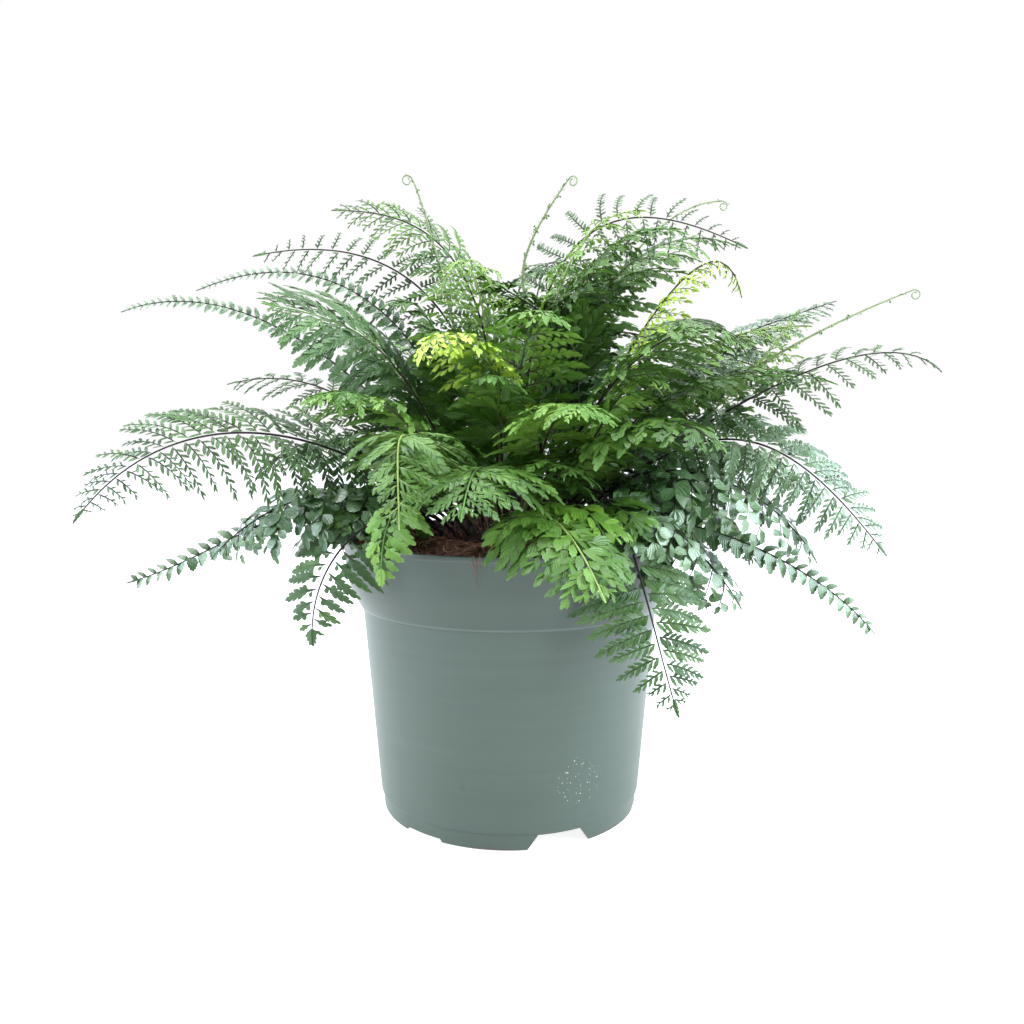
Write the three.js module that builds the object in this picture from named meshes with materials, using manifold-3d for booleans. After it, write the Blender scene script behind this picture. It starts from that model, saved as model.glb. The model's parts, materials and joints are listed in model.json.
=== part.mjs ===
// A spleenwort fern in a grey-green nursery pot. Millimetres, +Z up, origin at the centre of the pot's foot.
// The fronds arch out of a woody crown in tiers: the outer ones hang over the rim, the inner ones stand up.
import * as THREE from "three";
import { mergeVertices } from "three/addons/utils/BufferGeometryUtils.js";
import Module from "manifold-3d";

const wasm = await Module();
wasm.setup();

// ---- Pot ----
const POT_HEIGHT = 155;
const RIM_RADIUS = 95; // outside, at the lip
const COLLAR_RADIUS = 92.4; // outside, where the collar's straight wall ends
const COLLAR_BOTTOM = 131; // height of that end
const NECK_RADIUS = 84; // outside, under the collar's sloped shoulder
const NECK_HEIGHT = 117;
const FOOT_RADIUS = 74.3;
const WALL = 2;
const LIP_BEAD = 0.8; // how far the lip stands out from the collar
const LIP_HEIGHT = 3;
const FOOT_EDGE = 1; // the foot ring is narrower by this on each side at the table
const FOOT_STEP = 0.4; // the foot ring stands in by this under the seam
const SEAM_STEP = 0.6; // and the seam stands out by this
const SEAM_HIGH = 0.8;
const FLOOR_UNDER = 9; // underside of the floor, above the foot ring
const FLOOR_THICK = 2.4;
const POT_SIDES = 44;
const NOTCH_WIDE = 35; // drainage notch in the foot ring, at the table
const NOTCH_NARROW = 24; // and at its top
const NOTCH_HIGH = 8;
const NOTCH_DEEP = 40;
const SLOT_WIDE = 26; // the shallow slots between the notches, at the table
const SLOT_NARROW = 24; // and at their tops
const SLOT_HIGH = 2;
const NOTCH_COUNT = 3;
const FIRST_NOTCH = -69; // degrees from +X
const DRAIN_COUNT = 6;
const DRAIN_RADIUS = 5;
const DRAIN_RING = 50;
const DRAIN_SIDES = 10;

// ---- Soil and crown ----
const CLEAR = 0.35; // gap kept between pieces that touch
const SOIL_EDGE = 149; // height at the pot's wall
const SOIL_TOP = 156; // height round the crown
const SOIL_SIDES = 30;
const SOIL_RINGS = 2;
const SOIL_RELIEF = 1.2; // height of its clods
const CLOD_WIDE = 6.5;
const CROWN_RADIUS = 46;
const CROWN_FOOT_RADIUS = 34;
const CROWN_FOOT = 138;
const CROWN_EDGE = 159; // height of its rounded shoulder
const CROWN_TOP = 168;
const CROWN_BEVEL = 2;
const CROWN_STEPS = [1, 0.55]; // where its dome is divided
const CROWN_SIDES = 16;

// ---- Fronds ----
const STALK_DEPTH = 9; // how deep a stalk stands in the crown
const STALK_HALF = 1.2; // half the stalk's width at its foot
const RIB_HALF = 0.6; // and at the frond's tip
const STALK_THICK = 2;
const RIB_THICK = 0.9;
const BLADE_THICK = 0.8;
const HOLE_SPARE = 0.8; // room round a stalk in its hole
const CROWN_RINGS = [8, 17, 27, 37]; // radii that the stalks stand on, inner fronds first
const LEAD = 0.45; // share of the span over which a frond keeps its first direction
const TRAIL = 0.38; // and its last
const TURN_ASIDE = 1.5; // the last stretch of a swung frond turns this much more than its tip
const PATH_STEPS = 60;
const STALK_PARTS = 3;
const PAIRS = 7; // pairs of leaflets, and how many leaflets are lobed
const CUT = 5;
const CROWDING = 1.15; // the leaflets stand closer towards the tip, by this power
const TIP_LENGTH = 6; // the rib beyond the last leaflet
const SAG = 0.2; // how far the longest leaflets hang below the rib, as a share of their reach
const LEAFLET_SPREAD = [76, 50]; // degrees between rib and leaflet, at the blade's foot and at its tip
const LONGEST_AT = 0.25; // where along the blade the leaflets are longest
const FOOT_REACH = 0.72; // the reach of the blade's first leaflets, as a share of the longest
const TAPER = 1.6; // the power by which they shorten towards the tip
const LEAFLET_HALF = 0.2; // half a leaflet's width, as a share of its length
const MOST_LEAFLET_HALF = 7;
const NOTCH_AT = 0.44; // where a cut leaflet is notched, and its lobes end, as shares of its length
const LOBE_AT = 0.58;
const NOTCH_HALF = 0.4; // half the leaflet's width at the notch, as a share of the lobes' reach
const SWEEP = 0.1; // how far a leaflet's tip bends forward, as a share of its length
const BENDS = [0, 6, -6, 12, -12]; // lifts tried on a leaflet that would cross a neighbour
const SHRINKS = [1, 0.8, 0.6, 0.4, 0.2]; // and lengths, tried after them
const CURL_START = 0.86; // share of a crozier's length below its coil
const CURL_STEPS = 14;
const CURL_TURNS = 1.15;
const CURL_WIDE = 3; // radius where a crozier's coil begins
const CURL_TIGHT = 1.4; // and where it ends
const ROOM = 1.3; // the space searched for neighbours, in reaches of the longest leaflet
const TOUCH = 1e-3; // solids that share more than this, in cubic millimetres, cross
const SAME = 1e-4; // corners nearer than this are one

// Each frond: its name; az, the heading in degrees from +X, counter-clockwise from above; ring, its place in
// the crown; rise, the slope of its first stretch; reach and tip, the tip's distance from the axis and its
// height; fall, the slope of its last stretch; half, the reach of its longest leaflets; and bare, its
// leafless share. Then what is its own: at, another heading for its foot; swing, how far the tip turns
// aside; roll, the turn of the blade about its rib; lean, by how much its left leaflets turn back and its
// right ones forward; lead, trail and spread in place of the usual shares and angles; pairs of leaflets; and
// cut, how many leaflets are lobed.
const SMALL = { pairs: 5, cut: 4 };
const YOUNG = { pairs: 5, cut: 0, curl: true };
const FRONDS = [
  // young croziers, thin and nearly bare
  [
    "crozier_top", 321, 0, 70, 38, 349, 48, 5, 0.5,
    { ...YOUNG, at: 316, swing: 6, lead: 0.79, trail: 0.54 },
  ],
  ["crozier_left", 197, 0, 76, 55, 350, 64, 4, 0.55, { ...YOUNG, at: 227, lead: 0.33, trail: 0.16 }],
  ["crozier_high", 23, 0, 76, 134, 352, 3, 4, 0.6, { ...YOUNG, at: 48, swing: -6, trail: 0.24 }],
  [
    "crozier_right", 6, 2, 46, 226, 293, 21, 4, 0.5,
    { ...YOUNG, at: 9, swing: -7, lead: 0.23, trail: 0.44 },
  ],
  ["crozier_back", 95, 1, 80, 88, 316, 50, 4, 0.55, { ...YOUNG, at: 105 }],
  // lowest tier, over the rim
  ["low_left", 193, 3, 51, 209, 134, -14, 10, 0.3, { at: 176, trail: 0.36, roll: -24 }],
  ["low_front_left", 206, 3, 48, 166, 150, -50, 38, 0.3, { roll: -10 }],
  ["hang_left", 223, 3, 57, 130, 110, -95, 30, 0.38, { trail: 0.58, roll: -32, spread: [86, 66] }],
  ["hang_lime", 239, 3, 45, 116, 141, -94, 18, 0.5, { ...SMALL, lead: 0.79, trail: 0.6 }],
  ["front_lime", 275, 3, 50, 163, 145, -40, 38, 0.3, { swing: 9, lead: 0.3, trail: 0.5 }],
  ["low_front", 292, 3, 56, 122, 160, -55, 34, 0.34],
  [
    "hang_right", 305, 3, 58, 137, 82, -63, 46, 0.36,
    { lead: 0.8, trail: 0.48, roll: 25, lean: -8, spread: [92, 68] },
  ],
  ["glossy_right", 317, 3, 58, 130, 148, -60, 34, 0.34],
  ["low_front_right", 325, 3, 45, 140, 126, -66, 34, 0.32, { at: 330, lead: 0.6, trail: 0.15, roll: 15 }],
  [
    "low_right", 355, 3, 36, 202, 104, -54, 10, 0.3,
    { at: 357, swing: -6, lead: 0.3, trail: 0.3, roll: 20 },
  ],
  ["low_back_right", 30, 3, 45, 200, 120, -50, 42, 0.28],
  ["low_back", 88, 3, 45, 160, 116, -55, 42, 0.28],
  ["low_back_left", 140, 3, 45, 200, 122, -48, 42, 0.28],
  // second tier
  [
    "arch_left", 204, 2, 43, 227, 170, -56, 48, 0.3,
    { at: 196, lead: 0.52, roll: -42, lean: 25, spread: [98, 78] },
  ],
  ["front_left", 226, 2, 62, 139, 226, -28, 40, 0.32],
  [
    "front_glossy", 235, 2, 40, 138, 171, -94, 34, 0.34,
    { at: 240, swing: 15, lead: 0.85, trail: 0.6, spread: [80, 56] },
  ],
  ["front_broad", 262, 2, 60, 144, 176, -52, 44, 0.32],
  ["front_right", 287, 2, 66, 120, 218, -42, 40, 0.34],
  ["side_front", 310, 2, 60, 150, 205, -42, 42, 0.32],
  ["side_right", 335, 2, 53, 170, 148, -62, 42, 0.3, { at: 332, lead: 0.53, roll: 10 }],
  [
    "arch_right", 345, 2, 41, 202, 152, -53, 46, 0.28,
    { swing: -7, lead: 0.61, trail: 0.57, roll: 42, spread: [88, 66] },
  ],
  ["mid_far_right", 20, 2, 50, 208, 172, -45, 42, 0.3],
  ["mid_back_right", 48, 2, 55, 188, 188, -45, 42, 0.28],
  ["mid_back", 108, 2, 55, 165, 180, -48, 42, 0.28],
  ["mid_back_left", 152, 2, 52, 196, 180, -42, 42, 0.28],
  ["mid_left", 170, 2, 58, 174, 242, -14, 34, 0.32, { roll: -25 }],
  // third tier
  [
    "high_left", 173, 1, 58, 228, 283, -21, 10, 0.34,
    { at: 188, swing: 3, lead: 0.42, trail: 0.31, roll: -20 },
  ],
  ["high_far_left", 158, 1, 79, 196, 299, -21, 10, 0.36, { at: 150, swing: 10, trail: 0.48, roll: -20 }],
  [
    "high_front_left", 204, 1, 64, 142, 276, 5, 46, 0.36,
    { at: 212, swing: 8, lead: 0.66, roll: -48, spread: [60, 42] },
  ],
  ["young_lime", 257, 2, 83, 96, 244, -69, 24, 0.45, { ...SMALL, at: 299, swing: -14, lead: 0.78 }],
  ["high_front", 280, 1, 84, 100, 262, -48, 36, 0.36, { at: 264 }],
  ["high_front_right", 320, 1, 66, 150, 252, -38, 42, 0.34],
  [
    "high_right", 351, 2, 41, 229, 244, -50, 38, 0.4,
    { at: 358, swing: -3, lead: 0.3, trail: 0.25, roll: 26, spread: [88, 62] },
  ],
  ["lime_right", 354, 1, 50, 163, 283, 57, 16, 0.5, { ...SMALL, at: 350, swing: 4, trail: 0.61, roll: 20 }],
  [
    "upper_right", 12, 1, 58, 199, 292, 17, 34, 0.36,
    { at: 14, swing: -3, lead: 0.33, trail: 0.58, roll: 22 },
  ],
  ["high_back_right", 38, 1, 60, 190, 280, -25, 42, 0.32],
  ["high_back", 80, 1, 62, 159, 250, -40, 42, 0.32],
  ["high_back_left", 130, 1, 62, 178, 268, -30, 42, 0.32],
  // innermost tier
  [
    "top_right", 1, 0, 92, 131, 312, -29, 44, 0.44,
    { at: 340, swing: -10, lead: 0.95, trail: 0.41, roll: 52, spread: [98, 76] },
  ],
  ["top_mid_right", 14, 0, 86, 144, 323, -23, 36, 0.42, { at: 12, lead: 0.64, trail: 0.27, roll: 16 }],
  ["lime_hanging", 340, 1, 66, 128, 282, -78, 22, 0.45, { ...SMALL, lead: 0.3, trail: 0.46 }],
  ["top_left", 188, 0, 92, 99, 334, -3, 36, 0.44, { at: 204, lead: 0.75, trail: 0.32, roll: -45 }],
  [
    "top_far_left", 182, 0, 90, 144, 311, -13, 38, 0.42,
    { at: 174, lead: 0.38, trail: 0.57, roll: -50, lean: -18, spread: [94, 76] },
  ],
  ["top_front", 250, 0, 80, 84, 290, -40, 34, 0.44],
  [
    "front_inner", 287, 3, 68, 53, 295, 13, 26, 0.5,
    { ...SMALL, at: 323, swing: -36, lead: 0.8, trail: 0.69 },
  ],
  ["top_back", 72, 0, 74, 116, 316, -34, 42, 0.4, { at: 80 }],
].map(([name, az, ring, rise, reach, tip, fall, half, bare, own]) => {
  return { name, az, ring, rise, reach, tip, fall, half, bare, ...own };
});

// ---- Helpers ----
const RAD = Math.PI / 180;
const mix = (a, b, share) => a + (b - a) * share;
const flat = (deg) => new THREE.Vector3(Math.cos(deg * RAD), Math.sin(deg * RAD), 0);
const slope = (deg, up) => flat(deg).multiplyScalar(Math.cos(up * RAD)).setZ(Math.sin(up * RAD));
const crownHeight = (r) => mix(CROWN_TOP, CROWN_EDGE, (r / CROWN_RADIUS) ** 2);

function manifoldOf(corners, triangles) {
  const vertProperties = new Float32Array(corners);
  const triVerts = new Uint32Array(triangles);
  return new wasm.Manifold(new wasm.Mesh({ numProp: 3, vertProperties, triVerts }));
}

// A closed geometry as a solid, its shared corners merged and empty triangles left out.
function solidOf(geometry) {
  const bare = geometry.clone().deleteAttribute("normal").deleteAttribute("uv");
  const merged = mergeVertices(bare, SAME);
  const at = merged.index.array;
  const kept = [];
  for (let i = 0; i < at.length; i += 3) {
    const [a, b, c] = at.slice(i, i + 3);
    if (a !== b && b !== c && c !== a) kept.push(a, b, c);
  }
  return manifoldOf(merged.attributes.position.array, kept);
}

function geometryOf(solid) {
  const mesh = solid.getMesh();
  return new THREE.BufferGeometry()
    .setAttribute("position", new THREE.BufferAttribute(mesh.vertProperties, 3))
    .setIndex(new THREE.BufferAttribute(mesh.triVerts, 1));
}

// A profile of [radius, height] pairs turned about Z.
function turned(profile, sides) {
  const points = profile.map(([r, z]) => new THREE.Vector2(r, z));
  return new THREE.LatheGeometry(points, sides).rotateX(Math.PI / 2);
}

// The pot's inner radius at a height, on its body or on its collar.
function potInside(z) {
  if (z < NECK_HEIGHT) return mix(FOOT_RADIUS, NECK_RADIUS, z / NECK_HEIGHT) - WALL;
  const share = (z - COLLAR_BOTTOM) / (POT_HEIGHT - COLLAR_BOTTOM);
  return mix(COLLAR_RADIUS, RIM_RADIUS, share) - WALL;
}

// ---- Pot ----
// A trapezoid cut outwards through the foot ring, wide at the table.
function notch(angle, wide, narrow, high) {
  const under = -1;
  const shape = new THREE.Shape([
    new THREE.Vector2(-wide / 2, under),
    new THREE.Vector2(wide / 2, under),
    new THREE.Vector2(narrow / 2, high),
    new THREE.Vector2(-narrow / 2, high),
  ]);
  return new THREE.ExtrudeGeometry(shape, { depth: NOTCH_DEEP, bevelEnabled: false })
    .rotateX(Math.PI / 2)
    .rotateZ(Math.PI / 2)
    .translate(FOOT_RADIUS - NOTCH_DEEP / 2, 0, 0)
    .rotateZ(angle * RAD);
}

function potSolid() {
  const floorTop = FLOOR_UNDER + FLOOR_THICK;
  const profile = [
    [0, FLOOR_UNDER],
    [FOOT_RADIUS - 3 * WALL, FLOOR_UNDER],
    [FOOT_RADIUS - WALL - FOOT_EDGE, 0],
    [FOOT_RADIUS - FOOT_EDGE, 0],
    [FOOT_RADIUS - FOOT_STEP, FLOOR_UNDER],
    [FOOT_RADIUS + SEAM_STEP, FLOOR_UNDER + SEAM_HIGH],
    [NECK_RADIUS, NECK_HEIGHT],
    [COLLAR_RADIUS, COLLAR_BOTTOM],
    [RIM_RADIUS - LIP_BEAD, POT_HEIGHT - LIP_HEIGHT],
    [RIM_RADIUS, POT_HEIGHT - LIP_HEIGHT + LIP_BEAD],
    [RIM_RADIUS, POT_HEIGHT],
    [RIM_RADIUS - WALL, POT_HEIGHT],
    [COLLAR_RADIUS - WALL, COLLAR_BOTTOM],
    [NECK_RADIUS - WALL, NECK_HEIGHT],
    [potInside(floorTop), floorTop],
    [0, floorTop],
  ];
  let pot = solidOf(turned(profile, POT_SIDES));
  for (let i = 0; i < NOTCH_COUNT; i++) {
    const angle = FIRST_NOTCH + (360 / NOTCH_COUNT) * i;
    pot = pot.subtract(solidOf(notch(angle, NOTCH_WIDE, NOTCH_NARROW, NOTCH_HIGH)));
    pot = pot.subtract(solidOf(notch(angle + 180 / NOTCH_COUNT, SLOT_WIDE, SLOT_NARROW, SLOT_HIGH)));
  }
  for (let i = 0; i < DRAIN_COUNT; i++) {
    const drain = new THREE.CylinderGeometry(DRAIN_RADIUS, DRAIN_RADIUS, 2 * FLOOR_THICK, DRAIN_SIDES)
      .rotateX(Math.PI / 2)
      .translate(DRAIN_RING, 0, FLOOR_UNDER + FLOOR_THICK / 2)
      .rotateZ((360 / DRAIN_COUNT) * i * RAD);
    pot = pot.subtract(solidOf(drain));
  }
  return pot;
}

// ---- Soil ----
// It fills the pot and is heaped towards the crown, with low clods by a formula.
function soilSolid() {
  const floor = FLOOR_UNDER + FLOOR_THICK + CLEAR;
  const spare = WALL + CLEAR;
  const edge = potInside(SOIL_EDGE) - CLEAR;
  const profile = [
    [0, floor],
    [potInside(floor) - CLEAR, floor],
    [NECK_RADIUS - spare, NECK_HEIGHT + CLEAR],
    [COLLAR_RADIUS - spare, COLLAR_BOTTOM + CLEAR],
    [edge, SOIL_EDGE],
  ];
  for (let i = 1; i <= SOIL_RINGS; i++) {
    const share = i / (SOIL_RINGS + 1);
    profile.push([mix(edge, CROWN_RADIUS + CLEAR, share), mix(SOIL_EDGE, SOIL_TOP, share)]);
  }
  profile.push([CROWN_RADIUS + CLEAR, SOIL_TOP]);
  profile.push([CROWN_FOOT_RADIUS + CLEAR, CROWN_FOOT - CLEAR]);
  profile.push([0, CROWN_FOOT - CLEAR]);
  const geometry = turned(profile, SOIL_SIDES);
  const at = geometry.attributes.position;
  for (let i = 0; i < at.count; i++) {
    const [x, y, z] = [at.getX(i), at.getY(i), at.getZ(i)];
    const open = z > SOIL_EDGE && Math.hypot(x, y) > CROWN_RADIUS + 2 * CLEAR;
    if (open) at.setZ(i, z + SOIL_RELIEF * Math.sin(x / CLOD_WIDE + 1) * Math.cos(y / CLOD_WIDE));
  }
  return solidOf(geometry);
}

// ---- Crown ----
// A woody dome that the stalks stand in, sunk in the soil.
function crownSolid(holes) {
  const profile = [
    [0, CROWN_FOOT],
    [CROWN_FOOT_RADIUS, CROWN_FOOT],
    [CROWN_RADIUS, SOIL_TOP],
    [CROWN_RADIUS, CROWN_EDGE - CROWN_BEVEL],
  ];
  for (const share of CROWN_STEPS) {
    const r = (CROWN_RADIUS - CROWN_BEVEL) * share;
    profile.push([r, crownHeight(r)]);
  }
  profile.push([0, CROWN_TOP]);
  let crown = solidOf(turned(profile, CROWN_SIDES));
  for (const hole of holes) crown = crown.subtract(hole);
  return crown;
}

// ---- Fronds ----
// The rib's points: one cubic from the crown to the tip, and on a crozier a coil in the same upright plane.
function ribPoints(frond) {
  const { az, at = az, ring, rise, reach, tip, fall, swing = 0, lead = LEAD, trail = TRAIL, curl } = frond;
  const r = CROWN_RINGS[ring];
  const foot = flat(at).multiplyScalar(r).setZ(crownHeight(r) - STALK_DEPTH);
  const end = flat(az + swing).multiplyScalar(reach).setZ(tip);
  const span = foot.distanceTo(end);
  const out = foot.clone().addScaledVector(slope(az, rise), span * lead);
  const back = end.clone().addScaledVector(slope(az + swing * TURN_ASIDE, fall), -span * trail);
  const points = new THREE.CubicBezierCurve3(foot, out, back, end).getPoints(PATH_STEPS);
  if (!curl) return points;
  const turn = (CURL_TURNS * 360) / CURL_STEPS;
  for (let i = 0; i < CURL_STEPS; i++) {
    const radius = mix(CURL_WIDE, CURL_TIGHT, i / CURL_STEPS);
    const way = slope(az + swing * TURN_ASIDE, fall - turn * (i + 0.5));
    points.push(points.at(-1).clone().addScaledVector(way, radius * turn * RAD));
  }
  return points;
}

// The frond's surface: place(u, w, lift) is the point u along the rib, w to its left, lifted off the blade.
class Blade {
  constructor(frond) {
    const points = ribPoints(frond);
    const { az, swing = 0, roll = 0 } = frond;
    this.frond = frond;
    this.at = [0];
    points.slice(1).forEach((point, i) => this.at.push(this.at[i] + point.distanceTo(points[i])));
    this.length = this.at.at(-1);
    this.frames = points.map((point, i) => {
      const share = this.at[i] / this.length;
      const next = points[Math.min(i + 1, points.length - 1)];
      const along = next.clone().sub(points[Math.max(i - 1, 0)]).normalize();
      const left = flat(az + swing * TURN_ASIDE * share + 90);
      left.addScaledVector(along, -left.dot(along)).normalize();
      const up = along.clone().cross(left);
      for (const way of [left, up]) way.applyAxisAngle(along, roll * RAD);
      return { point, left, up };
    });
  }

  place(u, w, lift) {
    let i = 1;
    while (i < this.at.length - 1 && this.at[i] < u) i++;
    const share = (u - this.at[i - 1]) / (this.at[i] - this.at[i - 1]);
    const [a, b] = [this.frames[i - 1], this.frames[i]];
    const left = a.left.clone().lerp(b.left, share).normalize();
    const up = a.up.clone().lerp(b.up, share).normalize();
    const sag = SAG * (w * w) / this.frond.half;
    return a.point.clone().lerp(b.point, share).addScaledVector(left, w).addScaledVector(up, lift - sag);
  }

  ribHalf(u) {
    return mix(STALK_HALF, RIB_HALF, u / this.length);
  }

  ribThick(u) {
    return mix(STALK_THICK, RIB_THICK, u / this.length);
  }
}

// A thin closed sheet: corners in pairs, one on each face, and the same triangles on both.
class Sheet {
  constructor(blade) {
    this.blade = blade;
    this.corners = [];
    this.faces = [];
  }

  corner(u, w, thick, lift = 0) {
    this.corners.push(this.blade.place(u, w, lift + thick / 2), this.blade.place(u, w, lift - thick / 2));
    return this.corners.length / 2 - 1;
  }

  face(a, b, c) {
    this.faces.push([a, b, c]);
  }

  solid() {
    const triangles = [];
    const open = new Map();
    for (const [a, b, c] of this.faces) {
      triangles.push(2 * a, 2 * b, 2 * c, 2 * a + 1, 2 * c + 1, 2 * b + 1);
      for (const [from, to] of [[a, b], [b, c], [c, a]]) {
        if (!open.delete(to + "_" + from)) open.set(from + "_" + to, [from, to]);
      }
    }
    for (const [from, to] of open.values()) {
      triangles.push(2 * from + 1, 2 * to + 1, 2 * to, 2 * from + 1, 2 * to, 2 * from);
    }
    return manifoldOf(this.corners.flatMap((p) => [p.x, p.y, p.z]), triangles);
  }
}

// How far the leaflets reach at a share of the blade's length: nothing at the tip.
function leafletReach(half, share) {
  return half * (1 - share ** TAPER) * mix(FOOT_REACH, 1, Math.min(1, share / LONGEST_AT));
}

// One leaflet on the rib's edge between two corners. A cut one has a lobe on each side that points forward.
function leaflet(sheet, plan, base, extra, bend, shrink) {
  const { foot, side, share, cut } = plan;
  const { blade } = sheet;
  const { spread = LEAFLET_SPREAD, lean = 0 } = blade.frond;
  const angle = (mix(...spread, share) + side * lean) * RAD;
  const length = (leafletReach(blade.frond.half, share) / Math.sin(angle)) * shrink;
  const half = Math.min(MOST_LEAFLET_HALF, length * LEAFLET_HALF);
  const corner = (along, out) => {
    const d = along * length;
    const u = foot + d * Math.cos(angle) + out * Math.sin(angle) + SWEEP * length * along * along;
    const w = blade.ribHalf(foot) + d * Math.sin(angle) - out * Math.cos(angle);
    return sheet.corner(Math.min(u, blade.length - 1), side * w, BLADE_THICK + extra, bend * along * along);
  };
  const face = (a, b, c) => (side > 0 ? sheet.face(a, b, c) : sheet.face(a, c, b));
  const [back, front] = base;
  const tip = corner(1, 0);
  if (!cut) {
    face(back, front, tip);
    return;
  }
  const [backNotch, frontNotch] = [-1, 1].map((way) => corner(NOTCH_AT, way * half * NOTCH_HALF));
  const [backLobe, frontLobe] = [-1, 1].map((way) => corner(LOBE_AT, way * half));
  face(back, front, frontNotch);
  face(back, frontNotch, backNotch);
  face(front, frontLobe, frontNotch);
  face(back, backNotch, backLobe);
  face(backNotch, frontNotch, tip);
}

// Where the rib is divided, and what leaflet stands between each two divisions, left and right in turn.
function ribPlan(blade) {
  const { bare, pairs = PAIRS, cut = CUT, curl } = blade.frond;
  const start = blade.length * bare;
  const end = curl ? blade.length * CURL_START : blade.length - TIP_LENGTH;
  const count = 2 * pairs;
  const stations = [];
  for (let i = 0; i < STALK_PARTS; i++) stations.push((start * i) / STALK_PARTS);
  for (let i = 0; i <= count; i++) stations.push(start + (end - start) * (1 - (1 - i / count) ** CROWDING));
  const leaflets = [];
  for (let i = 0; i < count; i++) {
    leaflets.push({
      part: STALK_PARTS + i,
      foot: (stations[STALK_PARTS + i] + stations[STALK_PARTS + i + 1]) / 2,
      side: i % 2 ? -1 : 1,
      share: i / count,
      cut: i < cut,
    });
  }
  const coil = curl ? CURL_STEPS : 0;
  for (let i = 1; i <= coil; i++) stations.push(mix(end, blade.length - 2, i / coil));
  return { stations, leaflets };
}

function meets(a, b) {
  const [p, q] = [a.boundingBox(), b.boundingBox()];
  if ([0, 1, 2].some((k) => p.min[k] > q.max[k] || q.min[k] > p.max[k])) return false;
  return a.intersect(b).volume() > TOUCH;
}

// The stalk and rib alone.
function ribSheet(blade, stations, extra = 0) {
  const sheet = new Sheet(blade);
  const pairs = stations.map((u) => {
    const [half, thick] = [blade.ribHalf(u) + extra / 2, blade.ribThick(u) + extra];
    return [sheet.corner(u, half, thick), sheet.corner(u, -half, thick)];
  });
  for (let i = 0; i + 1 < pairs.length; i++) {
    const [[left, right], [nextLeft, nextRight]] = [pairs[i], pairs[i + 1]];
    sheet.face(right, nextRight, nextLeft);
    sheet.face(right, nextLeft, left);
  }
  const [lastLeft, lastRight] = pairs.at(-1);
  sheet.face(lastRight, sheet.corner(blade.length, 0, BLADE_THICK), lastLeft);
  return { sheet, pairs };
}

// A whole frond. A leaflet that would cross what is there, or a rib to come, is bent clear or shortened.
function frondSolid(blade, others) {
  const plan = ribPlan(blade);
  const room = roomOf(blade);
  const near = others.filter((other) => meets(room, other));
  const { sheet, pairs } = ribSheet(blade, plan.stations);
  for (const one of plan.leaflets) {
    const [bend, shrink] = clearOf(blade, plan, one, near);
    const side = one.side > 0 ? 0 : 1;
    leaflet(sheet, one, [pairs[one.part][side], pairs[one.part + 1][side]], 0, bend, shrink);
  }
  return sheet.solid();
}

// A block that holds the whole blade, to pick the neighbours worth testing.
function roomOf(blade) {
  const room = new THREE.Box3().setFromPoints(blade.frames.map(({ point }) => point));
  room.expandByScalar(blade.frond.half * ROOM);
  const { x, y, z } = room.getSize(new THREE.Vector3());
  const middle = room.getCenter(new THREE.Vector3());
  return solidOf(new THREE.BoxGeometry(x, y, z).translate(middle.x, middle.y, middle.z));
}

// The first bend and length at which a leaflet, thickened by the gap it must keep, meets none of the others.
function clearOf(blade, plan, one, others) {
  for (const shrink of SHRINKS) {
    for (const bend of BENDS) {
      const trial = new Sheet(blade);
      const base = [one.part, one.part + 1].map((i) => {
        const u = plan.stations[i];
        return trial.corner(u, one.side * blade.ribHalf(u), BLADE_THICK);
      });
      leaflet(trial, one, base, 2 * CLEAR, bend * shrink, shrink);
      const solid = trial.solid();
      if (!others.some((other) => meets(solid, other))) return [bend * shrink, shrink];
    }
  }
  return [0, SHRINKS.at(-1) / 2];
}

// The hole that a stalk stands in: its own first stretch with room all round.
function stalkHole(frond) {
  const sheet = new Sheet(new Blade(frond));
  const half = STALK_HALF + HOLE_SPARE;
  const thick = STALK_THICK + 2 * HOLE_SPARE;
  const [[left, right], [topLeft, topRight]] = [-CLEAR, 2 * STALK_DEPTH].map((u) => {
    return [sheet.corner(u, half, thick), sheet.corner(u, -half, thick)];
  });
  sheet.face(right, topRight, topLeft);
  sheet.face(right, topLeft, left);
  return sheet.solid();
}

// ---- Colours ----
const POT_GREEN = 0x84968c;
const SOIL_BROWN = 0x3a2a24;
const CROWN_BROWN = 0x2a2022;
const LEAF_GREEN = 0x3f6f2f;
const GLOSSY_GREEN = 0x4d7560; // the lowest fronds, which shine blue-grey
const YOUNG_GREEN = 0x8fbf3f; // croziers and young fronds
const leafColour = ({ ring, name, curl }) => {
  if (curl || name.includes("lime")) return YOUNG_GREEN;
  return ring === CROWN_RINGS.length - 1 ? GLOSSY_GREEN : LEAF_GREEN;
};

// ---- The plant in its pot ----
const fern = new THREE.Group();
function add(name, solid, color, roughness) {
  const material = new THREE.MeshStandardMaterial({ color, roughness, metalness: 0 });
  const mesh = new THREE.Mesh(geometryOf(solid), material);
  mesh.name = name;
  fern.add(mesh);
  return solid;
}

const placed = [
  add("pot", potSolid(), POT_GREEN, 0.5),
  add("soil", soilSolid(), SOIL_BROWN, 0.95),
  add("crown", crownSolid(FRONDS.map(stalkHole)), CROWN_BROWN, 0.9),
];
const blades = FRONDS.map((frond) => new Blade(frond));
const ribs = blades.map((blade) => ribSheet(blade, ribPlan(blade).stations, 2 * CLEAR).sheet.solid());
FRONDS.forEach((frond, i) => {
  const solid = frondSolid(blades[i], [...placed, ...ribs.slice(i + 1)]);
  placed.push(add(frond.name, solid, leafColour(frond), 0.4));
});

export default fern;
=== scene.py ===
"""A spleenwort fern in a grey-green nursery pot, frond by frond and leaflet by leaflet.

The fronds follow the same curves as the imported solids. Lengths are millimetres until a mesh is made.
"""
import json

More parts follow.
